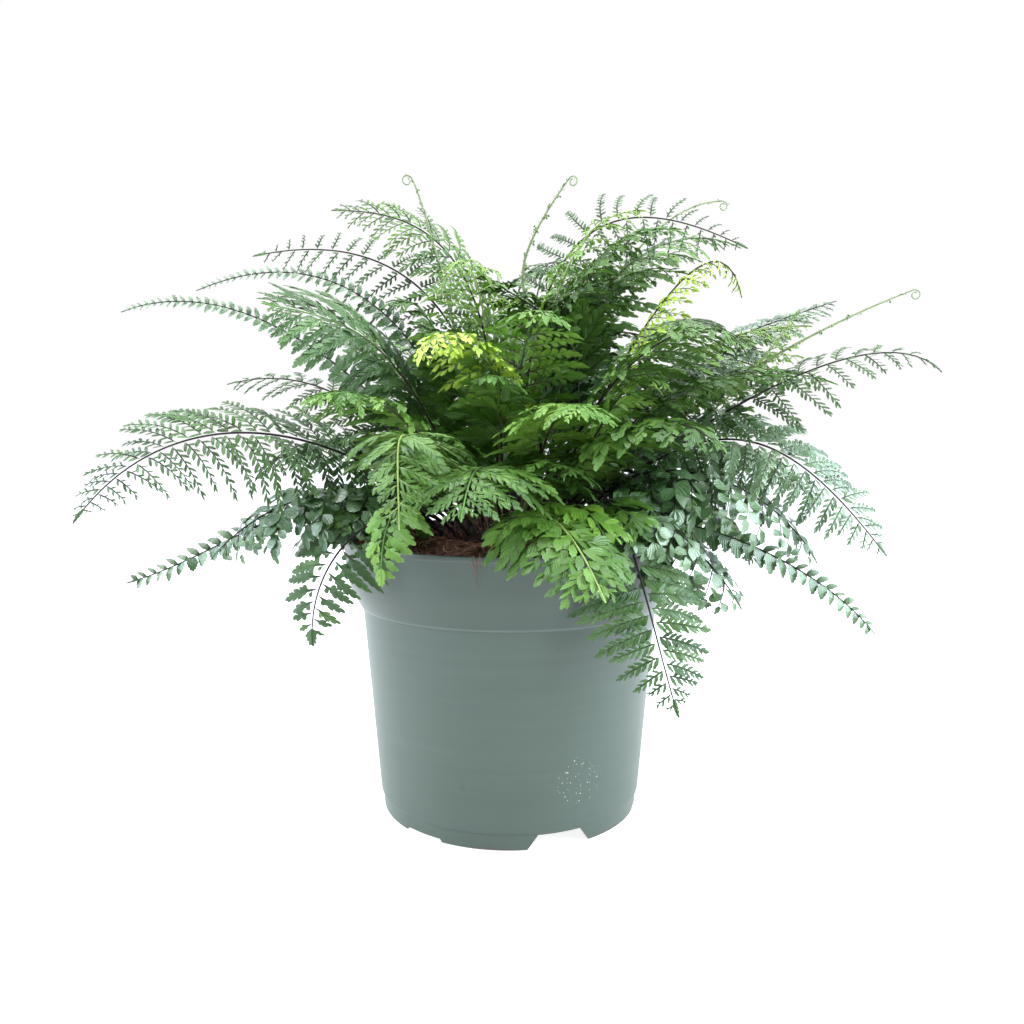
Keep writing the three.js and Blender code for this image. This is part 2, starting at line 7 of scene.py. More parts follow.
import bpy
import numpy as np
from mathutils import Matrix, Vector


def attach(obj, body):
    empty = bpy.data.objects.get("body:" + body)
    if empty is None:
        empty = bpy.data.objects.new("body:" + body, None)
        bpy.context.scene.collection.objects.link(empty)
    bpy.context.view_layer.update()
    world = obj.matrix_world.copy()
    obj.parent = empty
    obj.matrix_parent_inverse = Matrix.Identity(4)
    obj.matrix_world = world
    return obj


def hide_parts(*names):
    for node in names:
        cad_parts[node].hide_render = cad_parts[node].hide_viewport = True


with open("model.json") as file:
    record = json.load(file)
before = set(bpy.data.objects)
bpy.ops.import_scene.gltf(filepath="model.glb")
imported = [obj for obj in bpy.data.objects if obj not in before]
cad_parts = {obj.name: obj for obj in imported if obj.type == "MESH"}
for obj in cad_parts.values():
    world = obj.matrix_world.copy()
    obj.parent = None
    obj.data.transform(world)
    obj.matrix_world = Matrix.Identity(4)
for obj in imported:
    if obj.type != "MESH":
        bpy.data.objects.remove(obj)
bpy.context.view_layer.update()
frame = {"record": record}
MM = 0.001

# ---- Pot ----
POT_HEIGHT = 155
RIM_RADIUS = 95
COLLAR_RADIUS = 92.4
COLLAR_BOTTOM = 131
NECK_RADIUS = 84
NECK_HEIGHT = 117
FOOT_RADIUS = 74.3
WALL = 2
FLOOR_UNDER = 9
FLOOR_THICK = 2.4
NOTCH_WIDE, NOTCH_NARROW, NOTCH_HIGH = 35, 24, 8
SLOT_WIDE, SLOT_NARROW, SLOT_HIGH = 26, 24, 2
FIRST_NOTCH = -69  # degrees from +X
DRAIN_RADIUS = 5
DRAIN_RING = 50
POT_SIDES = 160

# ---- Soil and crown ----
SOIL_EDGE = 149
SOIL_TOP = 156
SOIL_GAP = 0.5  # between the soil and the pot's wall
CROWN_RADIUS = 46
CROWN_EDGE = 159
CROWN_TOP = 168

# ---- Fronds ----
STALK_DEPTH = 9
STALK_RADIUS, TIP_RADIUS, STALK_TAPER = 1.0, 0.3, 0.8
CROWN_RINGS = [8, 17, 27, 37]
LEAD, TRAIL, TURN_ASIDE = 0.45, 0.38, 1.5
PATH_STEPS = 60
SAG = 0.2
SPREAD = [76, 50]  # the leaflets' angle to the rib in degrees, at its foot and at its tip
MEAN_ANGLE = 57
TIP_REACH = 2.4
RUN_ON = 60  # how far a frond's surface goes on, straight, past its tip
CURL_STEPS, CURL_TURNS, CURL_WIDE, CURL_TIGHT = 28, 1.15, 3, 1.4
CURL_START = 0.86

rng = np.random.default_rng(20)


def mix(a, b, share):
    return a + (b - a) * share


def flat(deg):
    a = np.radians(deg)
    return np.stack([np.cos(a), np.sin(a), 0 * a], -1)


def slope(deg, up):
    up = np.radians(up)
    return flat(deg) * np.cos(up) + np.array([0, 0, 1]) * np.sin(up)


def crown_height(r):
    return mix(CROWN_TOP, CROWN_EDGE, (r / CROWN_RADIUS) ** 2)


def unit(v):
    return v / np.maximum(np.linalg.norm(v, axis=-1, keepdims=True), 1e-9)


def circle(sides):
    """The angles of points around a circle."""
    return np.linspace(0, 2 * np.pi, sides, endpoint=False)


def turned(r, a, z):
    """Points at radius r, angle a and height z."""
    return np.stack(np.broadcast_arrays(r * np.cos(a), r * np.sin(a), z), -1)


def new_object(name, data):
    ob = bpy.data.objects.new(name, data)
    bpy.context.scene.collection.objects.link(ob)
    return ob


# ---- Meshes ----
class Heap:
    """Triangles for one mesh, with a material on each, and three numbers at each point for it to read."""

    def __init__(self):
        self.points, self.faces, self.mats, self.tints, self.count = [], [], [], [], 0

    def add(self, points, faces, mat, tints=(0, 0, 0)):
        self.points.append(points)
        self.faces.append(faces + self.count)
        self.mats.append(np.full(len(faces), mat))
        self.tints.append(np.broadcast_to(tints, (len(points), 3)))
        self.count += len(points)

    def mesh(self, name, materials, sharp=55):
        points = np.concatenate(self.points) * MM
        faces = np.concatenate(self.faces).astype(np.int32)
        mesh = bpy.data.meshes.new(name)
        mesh.vertices.add(len(points))
        mesh.vertices.foreach_set("co", points.astype(np.float32).ravel())
        mesh.loops.add(faces.size)
        mesh.loops.foreach_set("vertex_index", faces.ravel())
        mesh.polygons.add(len(faces))
        mesh.polygons.foreach_set("loop_start", np.arange(0, faces.size, 3, dtype=np.int32))
        for material in materials:
            mesh.materials.append(material)
        mesh.polygons.foreach_set("material_index", np.concatenate(self.mats).astype(np.int32))
        tint = mesh.attributes.new("tint", "FLOAT_VECTOR", "POINT")
        tint.data.foreach_set("vector", np.concatenate(self.tints).astype(np.float32).ravel())
        mesh.update(calc_edges=True)
        mesh.validate()
        smooth(mesh, sharp)
        return mesh


def smooth(mesh, sharp):
    mesh.shade_smooth()
    mesh.set_sharp_from_angle(angle=np.radians(sharp))


def piece(name, mesh, slot, *nodes):
    ob = new_object(name, mesh)
    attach(ob, "root")
    if nodes:
        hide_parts(*nodes)


def capped_faces(rings, sides):
    """Triangles of rings of points, with a cap at each end. The caps' middle points come after the rings."""
    i, j = np.meshgrid(np.arange(rings - 1), np.arange(sides), indexing="ij")
    k = (j + 1) % sides
    a, b, c, d = i * sides + j, i * sides + k, (i + 1) * sides + k, (i + 1) * sides + j
    wall = np.concatenate([np.stack([a, b, c], -1), np.stack([a, c, d], -1)]).reshape(-1, 3)
    j, k, last = j[0], k[0], (rings - 1) * sides
    low = np.stack([np.full(sides, rings * sides), k, j], -1)
    high = np.stack([np.full(sides, rings * sides + 1), last + j, last + k], -1)
    return np.concatenate([wall, low, high])


def closed(rings, low, high):
    """Points and triangles of rings of points, whose caps meet on the axis at heights low and high."""
    points = np.concatenate([rings.reshape(-1, 3), [[0, 0, low], [0, 0, high]]])
    return points, capped_faces(*rings.shape[:2])


def tube(heap, path, radii, sides, mat, tints):
    """A round tube along a path, closed by a point at each end. tints: a row for each point, or one."""
    along = unit(np.gradient(path, axis=0))
    first = np.array([0, 0, 1.0]) if abs(along[0][2]) < 0.9 else np.array([1.0, 0, 0])
    left = np.zeros_like(path)
    side = unit(np.cross(first, along[0]))
    for i, way in enumerate(along):
        side = unit(side - way * (side @ way))
        left[i] = side
    up = np.cross(along, left)
    a = circle(sides)
    ring = left[:, None] * np.cos(a)[None, :, None] + up[:, None] * np.sin(a)[None, :, None]
    points = path[:, None] + ring * radii[:, None, None]
    points = np.concatenate([points.reshape(-1, 3), path[:1], path[-1:]])
    tints = np.broadcast_to(tints, (len(path), 3))
    tints = np.concatenate([np.repeat(tints, sides, axis=0), tints[:1], tints[-1:]])
    heap.add(points, capped_faces(len(path), sides), mat, tints)


# ---- The surface of a frond ----
class Blade:
    """A frond's rib, and the curved surface its leaflets lie in: u along it, w to its left, h off it."""

    def __init__(self, name, az, ring, rise, reach, tip, fall, half, bare, kind, colours, own):
        self.name, self.half, self.bare, self.kind = name, half, bare, kind
        self.colour, self.stem = colours
        self.spread, self.lean = own.get("spread", SPREAD), own.get("lean", 0)
        at, swing = own.get("at", az), own.get("swing", 0)
        lead, trail = own.get("lead", LEAD), own.get("trail", TRAIL)
        r = CROWN_RINGS[ring]
        foot = flat(at) * r + np.array([0, 0, crown_height(r) - STALK_DEPTH])
        end = flat(az + swing) * reach + np.array([0, 0, tip])
        span = np.linalg.norm(foot - end)
        last = slope(az + swing * TURN_ASIDE, fall)
        out, back = foot + slope(az, rise) * span * lead, end - last * span * trail
        t = np.linspace(0, 1, PATH_STEPS + 1)[:, None]
        path = (1 - t) ** 3 * foot + 3 * (1 - t) ** 2 * t * out + 3 * (1 - t) * t**2 * back + t**3 * end
        points = list(path)
        if kind is None:  # a crozier
            turn = CURL_TURNS * 360 / CURL_STEPS
            for i in range(CURL_STEPS):
                radius = mix(CURL_WIDE, CURL_TIGHT, i / CURL_STEPS)
                way = slope(az + swing * TURN_ASIDE, fall - turn * (i + 0.5))
                points.append(points[-1] + way * radius * np.radians(turn))
        points = np.array(points)
        step = np.linalg.norm(np.diff(points, axis=0), axis=1)
        s = np.concatenate([[0], np.cumsum(step)])
        self.length = s[-1]
        along = np.empty_like(points)
        along[1:-1] = points[2:] - points[:-2]
        along[0], along[-1] = points[1] - points[0], points[-1] - points[-2]
        along = unit(along)
        left = flat(az + swing * TURN_ASIDE * s / self.length + 90)
        left = unit(left - along * np.sum(left * along, -1, keepdims=True))
        up = np.cross(along, left)
        roll = np.radians(own.get("roll", 0))
        left, up = left * np.cos(roll) + up * np.sin(roll), up * np.cos(roll) - left * np.sin(roll)
        self.s = np.append(s, self.length + RUN_ON)
        self.points = np.vstack([points, points[-1] + along[-1] * RUN_ON])
        self.left, self.up = np.vstack([left, left[-1]]), np.vstack([up, up[-1]])
        self.near = -1 if left[len(left) // 2, 1] > 0 else 1  # the side towards the viewer
        self.longest = half / np.sin(np.radians(MEAN_ANGLE))

    def place(self, u, w, h):
        rows = (self.points, self.left, self.up)
        point, left, up = [np.stack([np.interp(u, self.s, v[:, k]) for k in range(3)], -1) for v in rows]
        sag = SAG * w * w / self.half
        return point + unit(left) * w[..., None] + unit(up) * (h - sag)[..., None]

    def radius(self, u):
        return mix(STALK_RADIUS, TIP_RADIUS, np.clip(u / self.length, 0, 1) ** STALK_TAPER)


# ---- Leaflet outlines: along, across, for the left edge; the right edge is its mirror ----
MIRROR = np.array([1, -1])
LINEAR = np.array([[0.04, 0.75], [0.5, 1.0], [0.8, 0.72]])
LANCE = np.array([[0.05, 0.4], [0.34, 0.9], [0.5, 1.05], [0.54, 0.72], [0.76, 0.78], [0.8, 0.45]])
LOBE = np.array([[0.0, 0.6], [0.3, 0.88], [0.56, 1.05], [0.6, 0.82], [0.8, 0.8], [0.83, 0.52]])
WEDGE = np.array([
    [0.14, 0.12], [0.34, 0.36], [0.6, 0.98], [0.66, 0.82], [0.84, 0.92], [0.84, 0.66], [0.99, 0.46],
    [0.95, 0.2],
])
FAN = np.array([
    [0.0, 0.5], [0.2, 0.8], [0.44, 1.0], [0.47, 0.76], [0.66, 0.86], [0.68, 0.62], [0.84, 0.62],
    [0.85, 0.4], [0.97, 0.34],
])
ROUND = np.array([
    [0.12, 0.14], [0.26, 0.46], [0.46, 0.94], [0.6, 0.96], [0.66, 1.0], [0.7, 0.88], [0.86, 0.84],
    [0.88, 0.66], [1.0, 0.48], [0.98, 0.22],
])


def bow(axes, x, y):
    """Points on leaflet axes: each axis has u, w, h, heading, bend, rise, curl and lean."""
    u, w, h, heading, bend, rise, curl, lean = [axes[:, k, None] for k in range(8)]
    a, b = heading + bend * x / 2, heading + bend * x
    across, along = w + x * np.sin(a) + y * np.cos(b), u + x * np.cos(a) - y * np.sin(b)
    return np.stack([along, across, h + rise * x + curl * x * x + lean * y], -1)


def lens_faces(n):
    """Triangles of a lens-shaped strip of n stations between two end points."""
    top, bottom, left, right = [2 + 4 * np.arange(n) + k for k in range(4)]
    faces = []
    for middle, flip in ((top, False), (bottom, True)):
        near = [[0, middle[0], left[0]], [0, right[0], middle[0]]]
        far = [[middle[-1], 1, left[-1]], [right[-1], 1, middle[-1]]]
        rows = np.concatenate([
            np.stack([middle[:-1], middle[1:], left[1:]], -1),
            np.stack([middle[:-1], left[1:], left[:-1]], -1),
            np.stack([right[:-1], right[1:], middle[1:]], -1),
            np.stack([right[:-1], middle[1:], middle[:-1]], -1),
            np.array(near + far),
        ])
        faces.append(rows[:, ::-1] if flip else rows)
    return np.concatenate(faces)


STEM_MAT, LEAF_MAT = 0, 1
LEAF_THICK, UNDIVIDED_THICK, AXIS_THICK, WING_THICK = 0.32, 0.34, 0.55, 0.3
RIB_REACH = 0.35  # a share of a leaflet's length: its veins start this far before its foot
VEIN_GAP = 2.4


class Leaves:
    """The leaflets of one frond, placed on its surface as they are made."""

    def __init__(self, heap, blade):
        self.heap, self.blade = heap, blade

    def strip(self, axes, ends, x, left, right, thick, side, mat, vein, tone, fold=0.0):
        """Lens-shaped strips, one for each axis, between two ends. x, left and right are the stations:
        (leaf, station) for the middle, and (leaf, station, 2), along and across, for each edge."""
        m, n = x.shape
        zero = np.zeros((m, n))
        middle = bow(axes, x, zero)
        edges = [bow(axes, e[..., 0], e[..., 1]) for e in (left, right)]
        rise = np.zeros((m, n, 3))
        rise[..., 2] = thick / 2
        for e, raw in zip(edges, (left, right), strict=True):
            e[..., 2] += fold * np.abs(raw[..., 1])
        points = np.empty((m, 2 + 4 * n, 3))
        points[:, 0], points[:, 1] = [bow(axes, e[:, None], np.zeros((m, 1)))[:, 0] for e in ends]
        points[:, 2::4], points[:, 3::4] = middle + rise, middle - rise
        points[:, 4::4], points[:, 5::4] = edges
        tints = np.empty((m, 2 + 4 * n, 3))
        tints[..., 2] = tone[:, None]
        tints[:, :2, 0], tints[:, :2, 1] = vein(np.stack([x[:, 0], x[:, -1]], 1), np.zeros((m, 2))), 0
        for k in (2, 3):
            tints[:, k::4, 0], tints[:, k::4, 1] = vein(x, zero), 0
        for k, e in ((4, left), (5, right)):
            tints[:, k::4, 0], tints[:, k::4, 1] = vein(e[..., 0], e[..., 1]), 1
        faces = lens_faces(n)
        if side < 0:
            faces = faces[:, ::-1]
        faces = (faces[None] + (2 + 4 * n) * np.arange(m)[:, None, None]).reshape(-1, 3)
        points = points.reshape(-1, 3)
        place = self.blade.place(points[:, 0], points[:, 1] * side, points[:, 2])
        self.heap.add(place, faces, mat, tints.reshape(-1, 3))

    def blades(self, axes, shape, length, half, thick, side, mat, tone, fold):
        """Leaflets of one outline, with their own lengths and half widths."""
        left = np.stack([shape[:, 0] * length[:, None], shape[:, 1] * half[:, None]], -1)
        x = np.minimum.accumulate(np.minimum(left[..., 0], 0.98 * length[:, None])[:, ::-1], axis=1)[:, ::-1]

        def vein(along, across):
            return across / (along + RIB_REACH * length[:, None])

        self.strip(axes, (0 * length, length), x, left, left * MIRROR, thick, side, mat, vein, tone, fold)

    def lobed(self, axis, x0, x1, half, lobes, depth, side, tone, fold, hook=0.45):
        """One strip with lobes turned forward on both edges, in turn, and a pointed end."""
        n = 4 * lobes
        x = x0 + (x1 - x0) * (np.arange(n) + 0.5) / (n + 0.6)
        share = (x - x0) / (x1 - x0)
        lobe = (x1 - x0) / (n + 0.6) * 4
        wide = half * np.minimum(1, 0.4 + share * 3.2) * (1 - share**2.4) ** 0.75 + 0.15
        edges = []
        for offset, sign in ((0, 1), (2, -1)):
            phase = (np.arange(n) + offset) % 4
            across = wide * (1 - depth * np.array([1, 0.3, 0.0, 0.08])[phase])
            push = np.array([0.06, 0.1, hook * 0.6, hook])[phase] * lobe * np.minimum(1, across / lobe * 1.4)
            edges.append(np.stack([np.minimum(x + push, x1 - 0.1), across * sign], -1)[None])

        def vein(along, across):
            return (along - np.abs(across) * 0.9) / VEIN_GAP

        ends = np.array([x0], float), np.array([x1], float)
        tones = np.array([tone])
        self.strip(axis[None], ends, x[None], *edges, LEAF_THICK, side, LEAF_MAT, vein, tones, fold)


def axis_at(axis, x, turn, sign):
    """What grows from a leaflet's axis at x, turned aside by turn radians: its place, heading and rise."""
    p = bow(axis[None], x[None], np.zeros((1, len(x))))[0]
    heading = axis[3] + axis[4] * x + sign * turn
    steep = axis[5] + 2 * axis[6] * x
    rise = steep * np.cos(turn) + axis[7] * sign * np.sin(turn)
    return p, heading, rise


# ---- How each kind of frond is divided ----
# pitch: between leaflets on one side of the rib; step: between the small leaflets on one side of theirs;
# shape, long, half: a small leaflet's outline, length and half width;
# wide: the angles of the first and last ones; first: where they start; foot: how long they are there;
# taper: how much shorter the last ones are; free: the share of the leaflet that has small leaflets;
# tip, tooth, depth: the half width, pitch and depth of its lobed end; end: the frond's own end's half width;
# wing: the half width of the blade along the leaflet's own axis; green: how green that axis is;
# loose: how uneven the small leaflets are; fold, droop: how they bend.
# A kind with a size has undivided leaflets: size and half are shares of their length, and drop their slope.
DIVIDED = dict(depth=0.5, fold=0.2, wing=0, loose=1, taper=0.6, first=0.2, foot=1, end=1.3)
FINE = dict(
    DIVIDED, shape=LINEAR, pitch=6.2, step=3.9, long=6.8, half=1.2, wide=(54, 36), free=0.93, tip=1.3,
    tooth=3, depth=0.4, fold=0.18, droop=0.25, green=0, loose=1.2, taper=0.42,
)
LACY = dict(
    DIVIDED, shape=LANCE, pitch=6.6, step=3, long=9.8, half=1.6, wide=(48, 30), free=0.85, tip=2.4,
    tooth=3.2, depth=0.55, droop=0.35, wing=1, green=0.35, loose=1.1,
)
FORKED = dict(
    DIVIDED, shape=WEDGE, pitch=7.4, step=4.2, long=7, half=1.9, wide=(52, 34), free=0.72, tip=3.2,
    tooth=3.8, droop=0.4, wing=0.8, green=0.1, taper=0.7,
)
BROAD = dict(
    DIVIDED, shape=LOBE, pitch=8.4, step=4.8, long=12.4, half=2.9, wide=(46, 30), free=0.86, tip=3.4,
    tooth=4.4, depth=0.42, droop=0.45, wing=1.3, green=0.5, taper=0.7,
)
COINS = dict(
    DIVIDED, shape=ROUND, pitch=10, step=7.4, long=12.6, half=5.4, wide=(60, 42), free=0.82, tip=3.6,
    tooth=3.8, depth=0.4, fold=0.24, droop=0.6, green=0.1, loose=1.5,
)
TENDER = dict(
    DIVIDED, shape=WEDGE, pitch=6.2, step=3.6, long=7.6, half=2.4, wide=(55, 40), free=0.85, tip=2.2,
    tooth=2.8, fold=0.4, droop=0.7, green=0.5, loose=1.6,
)
SERRATE = dict(
    DIVIDED, shape=WEDGE, pitch=6.2, step=3.8, long=6, half=2, wide=(52, 40), free=0.3, tip=3.9,
    tooth=3.4, droop=0.4, wing=1.2, green=0.2, loose=0.8, taper=0.5, end=3, first=1.2, foot=0.4,
)
SIMPLE = dict(shape=FAN, pitch=6.4, size=1.0, half=0.52, fold=0.1, droop=0.5, drop=-0.3, end=1.3)
SMALL_SIMPLE = dict(SIMPLE, pitch=5.0, size=0.72, half=0.44)
BEADS = dict(FINE, pitch=8.6, step=3.4, long=4.4, half=0.95)
WISPY = dict(TENDER, pitch=7.5, long=5.4, half=1.5)
SPARSE = dict(FINE, pitch=9.5, step=3.2, long=6.2, half=1.15)
NARROW = dict(LACY, pitch=5.8, step=2.8, long=9.6, half=1.3, wide=(38, 24), wing=1.3)
SMALL_BROAD = dict(BROAD, pitch=8.0, step=4.1, long=9.6, half=2.0, tip=2.4, tooth=3.6, wing=0.8)

# How leaflets and small leaflets vary: turn in degrees, rise and lean as slopes, droop as a share
LEAFLET_TURN, LEAFLET_RISE, LEAFLET_DROOP, LEAFLET_LEAN = (4, 18), (0.04, 0.1), (0.4, 1.0), 0.17
SMALL_TURN, SMALL_RISE, SMALL_DROOP, SMALL_LEAN = (4, 16), (0.06, 0.1), (0.1, 0.45), 0.22
ANGLE_SPREAD, TONE_SPREAD, WIDTH_RANGE = 4, 0.12, (0.88, 1.12)
FAR_HEADING, FAR_RISE, FAR_LENGTH, FAR_WIDTH = 0.8, 0.9, 0.9, 0.75
AXIS_STATIONS = np.linspace(0.12, 0.9, 5)
WING_SHAPE = np.array([0.5, 1.0, 1.0, 0.8, 0.45])
AXIS_HALF, AXIS_TONE = 0.42, 0.3
LOBED_FROM = 0.94  # the lobed end starts a little before the free part is over
SHORTEST_LEAFLET, SHORTEST_END = 2, 2.5
FULL_SIZE_EXPONENT = 0.55


def leaflet(leaves, foot, side, length, angle):
    """One leaflet of a frond: its own thin axis, small leaflets on both sides, and a lobed end."""
    blade, kind = leaves.blade, leaves.blade.kind
    forward = np.radians(rng.uniform(*LEAFLET_TURN))
    rise = rng.normal(*LEAFLET_RISE)
    curl = -kind["droop"] / length * rng.uniform(*LEAFLET_DROOP)
    lean = rng.normal(0.0, LEAFLET_LEAN)
    axis = np.array([foot, blade.radius(foot) * 0.6, 0, angle, -forward / length, rise, curl, lean])
    tone = rng.uniform(0, 1)
    if "size" in kind:
        undivided(leaves, axis, side, length, tone)
        return
    size = (length / blade.longest) ** FULL_SIZE_EXPONENT
    # the axis, and the blade along it
    x = AXIS_STATIONS * length
    ends = np.zeros(1), np.array([length * 0.97])

    def greener(along, across):
        return np.clip(foot / blade.length * 0.35 + kind["green"] + along / length, 0, 1)

    left = np.stack([x, AXIS_HALF * (1 - 0.65 * x / length)], -1)[None]
    tones = np.array([AXIS_TONE])
    leaves.strip(axis[None], ends, x[None], left, left * MIRROR, AXIS_THICK, side, STEM_MAT, greener, tones)
    if kind["wing"]:
        left = np.stack([x, kind["wing"] * size * WING_SHAPE], -1)[None]
        leaves.strip(
            axis[None], ends, x[None], left, left * MIRROR, WING_THICK, side, LEAF_MAT,
            lambda along, across: (along - np.abs(across)) / VEIN_GAP, np.array([tone]), kind["fold"],
        )
    free = kind["free"] * length
    count = max(0, int((free - kind["first"]) / kind["step"] * 2))
    if count:
        small_leaflets(leaves, axis, side, length, size, tone, count)
    rest = length - free * LOBED_FROM
    if rest > SHORTEST_END:
        teeth = max(2, int(rest / kind["tooth"] + 0.5))
        half = kind["tip"] * size * min(1, rest / 12 + 0.35)
        leaves.lobed(axis, free * LOBED_FROM, length, half, teeth, kind["depth"], side, tone, kind["fold"])


def undivided(leaves, axis, side, length, tone):
    """A whole leaflet. Those on the side towards the viewer hang, and those on the far side stand up."""
    kind = leaves.blade.kind
    long = kind["size"] * np.array([length])
    wide = kind["half"]
    if side == leaves.blade.near:
        axis[5] += kind["drop"]
    else:
        axis[3] *= FAR_HEADING
        axis[5] += FAR_RISE
        long, wide = long * FAR_LENGTH, wide * FAR_WIDTH
    shape, fold, tones = kind["shape"], kind["fold"], long * 0 + tone
    leaves.blades(axis[None], shape, long, wide * long, UNDIVIDED_THICK, side, LEAF_MAT, tones, fold)


def small_leaflets(leaves, axis, side, length, size, tone, count):
    """The small leaflets of one leaflet, in turn on both sides of its axis."""
    kind = leaves.blade.kind
    k = np.arange(count)
    along = kind["first"] + (k + 0.8) * kind["step"] / 2
    share = along / length
    sign = np.where(k % 2 == 0, -1, 1)
    turn = np.radians(mix(*kind["wide"], share) + rng.normal(0, ANGLE_SPREAD * kind["loose"], count))
    grown = kind["long"] * size * (1 - kind["taper"] * share**2)
    grown *= rng.uniform(1 - 0.13 * kind["loose"], 1.12, count)
    grown *= np.where(sign < 0, 1.08, 0.94) * np.minimum(1, kind["foot"] + 3 * share)
    p, heading, rise = axis_at(axis, along, turn, sign)
    bend = -sign * np.radians(rng.uniform(*SMALL_TURN, count)) / grown
    rise = rise + rng.normal(*SMALL_RISE, count)
    curl = -rng.uniform(*SMALL_DROOP, count) * kind["droop"] / grown
    lean = rng.normal(0, SMALL_LEAN, count)
    axes = np.column_stack([p, heading, bend, rise, curl, lean])
    half = kind["half"] * grown / kind["long"] * rng.uniform(*WIDTH_RANGE, count)
    tones = tone + rng.normal(0, TONE_SPREAD, count)
    leaves.blades(axes, kind["shape"], grown, half, LEAF_THICK, side, LEAF_MAT, tones, kind["fold"])


def reach_at(blade, share):
    """How far from the rib a frond's leaflets end, at a share of its leafy length."""
    grow = mix(0.72, 1, np.minimum(1, share / 0.25))
    return blade.half * (1 - share**1.6) * grow + TIP_REACH


STALK_SIDES, STALK_STATIONS = 7, 46
END_BEFORE_TIP, END_OVERLAP, END_LENGTH, END_LOBES, END_DEPTH, END_HOOK = 5, 4.8, 9, 4, 0.7, 0.8
CROWDING = 1.15  # above 1, leaflets stand closer towards the tip


def frond(blade):
    """A leafy frond: its stalk and rib, leaflets in turn on both sides, and a lobed end."""
    kind = blade.kind
    heap = Heap()
    leaves = Leaves(heap, blade)
    stop = blade.length - END_BEFORE_TIP
    start = blade.length * blade.bare
    u = np.linspace(0, blade.length - 1, STALK_STATIONS)
    path = blade.place(u, 0 * u, 0 * u)
    tints = np.stack([u / blade.length, 0 * u, 0 * u + 0.5], -1)
    tube(heap, path, blade.radius(u), STALK_SIDES, STEM_MAT, tints)
    count = 2 * max(4, int((stop - start) / kind["pitch"] + 0.5))
    for i in range(count):
        share = i / count
        side = 1 if i % 2 == 0 else -1
        foot = start + (stop - start) * (1 - (1 - share) ** CROWDING)
        angle = np.radians(mix(*blade.spread, share) + side * blade.lean + rng.normal(0, ANGLE_SPREAD))
        if "size" in kind:
            length = blade.half * (1 - 0.6 * share**1.5) * rng.uniform(0.85, 1.1)
        else:
            length = reach_at(blade, share) / np.sin(angle) * rng.uniform(0.9, 1.06)
        if length >= SHORTEST_LEAFLET:
            leaflet(leaves, foot, side, length, angle)
    end = np.array([stop - END_OVERLAP, 0, 0, 0, 0, 0, 0, 0])
    tone = rng.uniform(0, 1)
    leaves.lobed(end, 0, END_LENGTH, kind["end"], END_LOBES, END_DEPTH, 1, tone, kind["fold"], END_HOOK)
    return heap


YOUNG_RADIUS, YOUNG_TIP_RADIUS, YOUNG_TAPER = 1.4, 0.34, 1.2
BUDS, BUD_STATIONS, BUD_LENGTHS, BUD_CURL, BUD_RADII = 14, 12, (7.5, 2.6), (40, 330), (0.45, 0.3)
BUD_LEAVES_AT = (4, 6, 8, 10)
SCALES, SCALE_LENGTHS, SCALE_HALF, SCALE_THICK = 160, (0.9, 2.0), 0.13, 0.08


def crozier(blade):
    """A young frond: a thin hairy stalk with small curled buds, coiled at its tip."""
    heap = Heap()
    leaves = Leaves(heap, blade)
    stalk, coil = np.linspace(0, blade.length * CURL_START, 40), np.linspace(CURL_START + 0.01, 1, 34)
    u = np.concatenate([stalk, coil * blade.length])
    path = blade.place(u, 0 * u, 0 * u)

    def radius(u):
        return mix(YOUNG_RADIUS, YOUNG_TIP_RADIUS, (u / blade.length) ** YOUNG_TAPER)

    tints = np.stack([0.35 + 0.65 * u / blade.length, 0 * u, 0 * u + 0.5], -1)
    tube(heap, path, radius(u), STALK_SIDES, STEM_MAT, tints)
    start, stop = blade.length * blade.bare, blade.length * 0.95
    # buds: short side shoots, each a stub that curls in on itself, with small leaves
    for i in range(BUDS):
        share = i / BUDS
        foot = mix(start, stop, share) + rng.uniform(-2, 2)
        side = 1 if i % 2 == 0 else -1
        long = mix(*BUD_LENGTHS, share) * rng.uniform(0.7, 1.2)
        t = np.linspace(0, 1, BUD_STATIONS)
        turn = np.radians(mix(*BUD_CURL, t**1.2))
        step = long / BUD_STATIONS
        along = foot + np.cumsum(np.cos(turn)) * step
        across = side * (radius(foot) * 0.7 + np.cumsum(np.sin(turn)) * step)
        tube(heap, blade.place(along, across, 0 * t), mix(*BUD_RADII, t), 5, STEM_MAT, [0.9, 0, 0.5])
        for j in BUD_LEAVES_AT:
            axis = np.array([[along[j], side * across[j], 0, turn[j] - 0.9, 0, rng.normal(0, 0.5), 0, 0]])
            leaf = np.array([long * 0.24 + 0.5])
            tones = leaf * 0 + rng.uniform(0, 1)
            leaves.blades(axis, WEDGE, leaf, 0.4 * leaf, 0.24, side, LEAF_MAT, tones, 0.4)
    # fine scales on the stalk
    foot = rng.uniform(0.1, 0.95, SCALES) * blade.length
    around = rng.uniform(0, 2 * np.pi, SCALES)
    out = radius(foot) * 0.9
    axes = np.zeros((SCALES, 8))
    axes[:, 0], axes[:, 1], axes[:, 2] = foot, out * np.cos(around), out * np.sin(around)
    axes[:, 3], axes[:, 5] = np.cos(around), np.sin(around) * 0.9
    long = rng.uniform(*SCALE_LENGTHS, SCALES)
    leaves.blades(axes, LINEAR, long, 0 * long + SCALE_HALF, SCALE_THICK, 1, STEM_MAT, 0 * long + 0.9, 0.0)
    return heap


# ---- Materials ----
def linear(text):
    """A display colour, as #rrggbb, in linear light."""
    c = np.array([int(text[i : i + 2], 16) for i in (1, 3, 5)]) / 255
    c = np.where(c < 0.04045, c / 12.92, ((c + 0.055) / 1.055) ** 2.4)
    return (*c, 1)


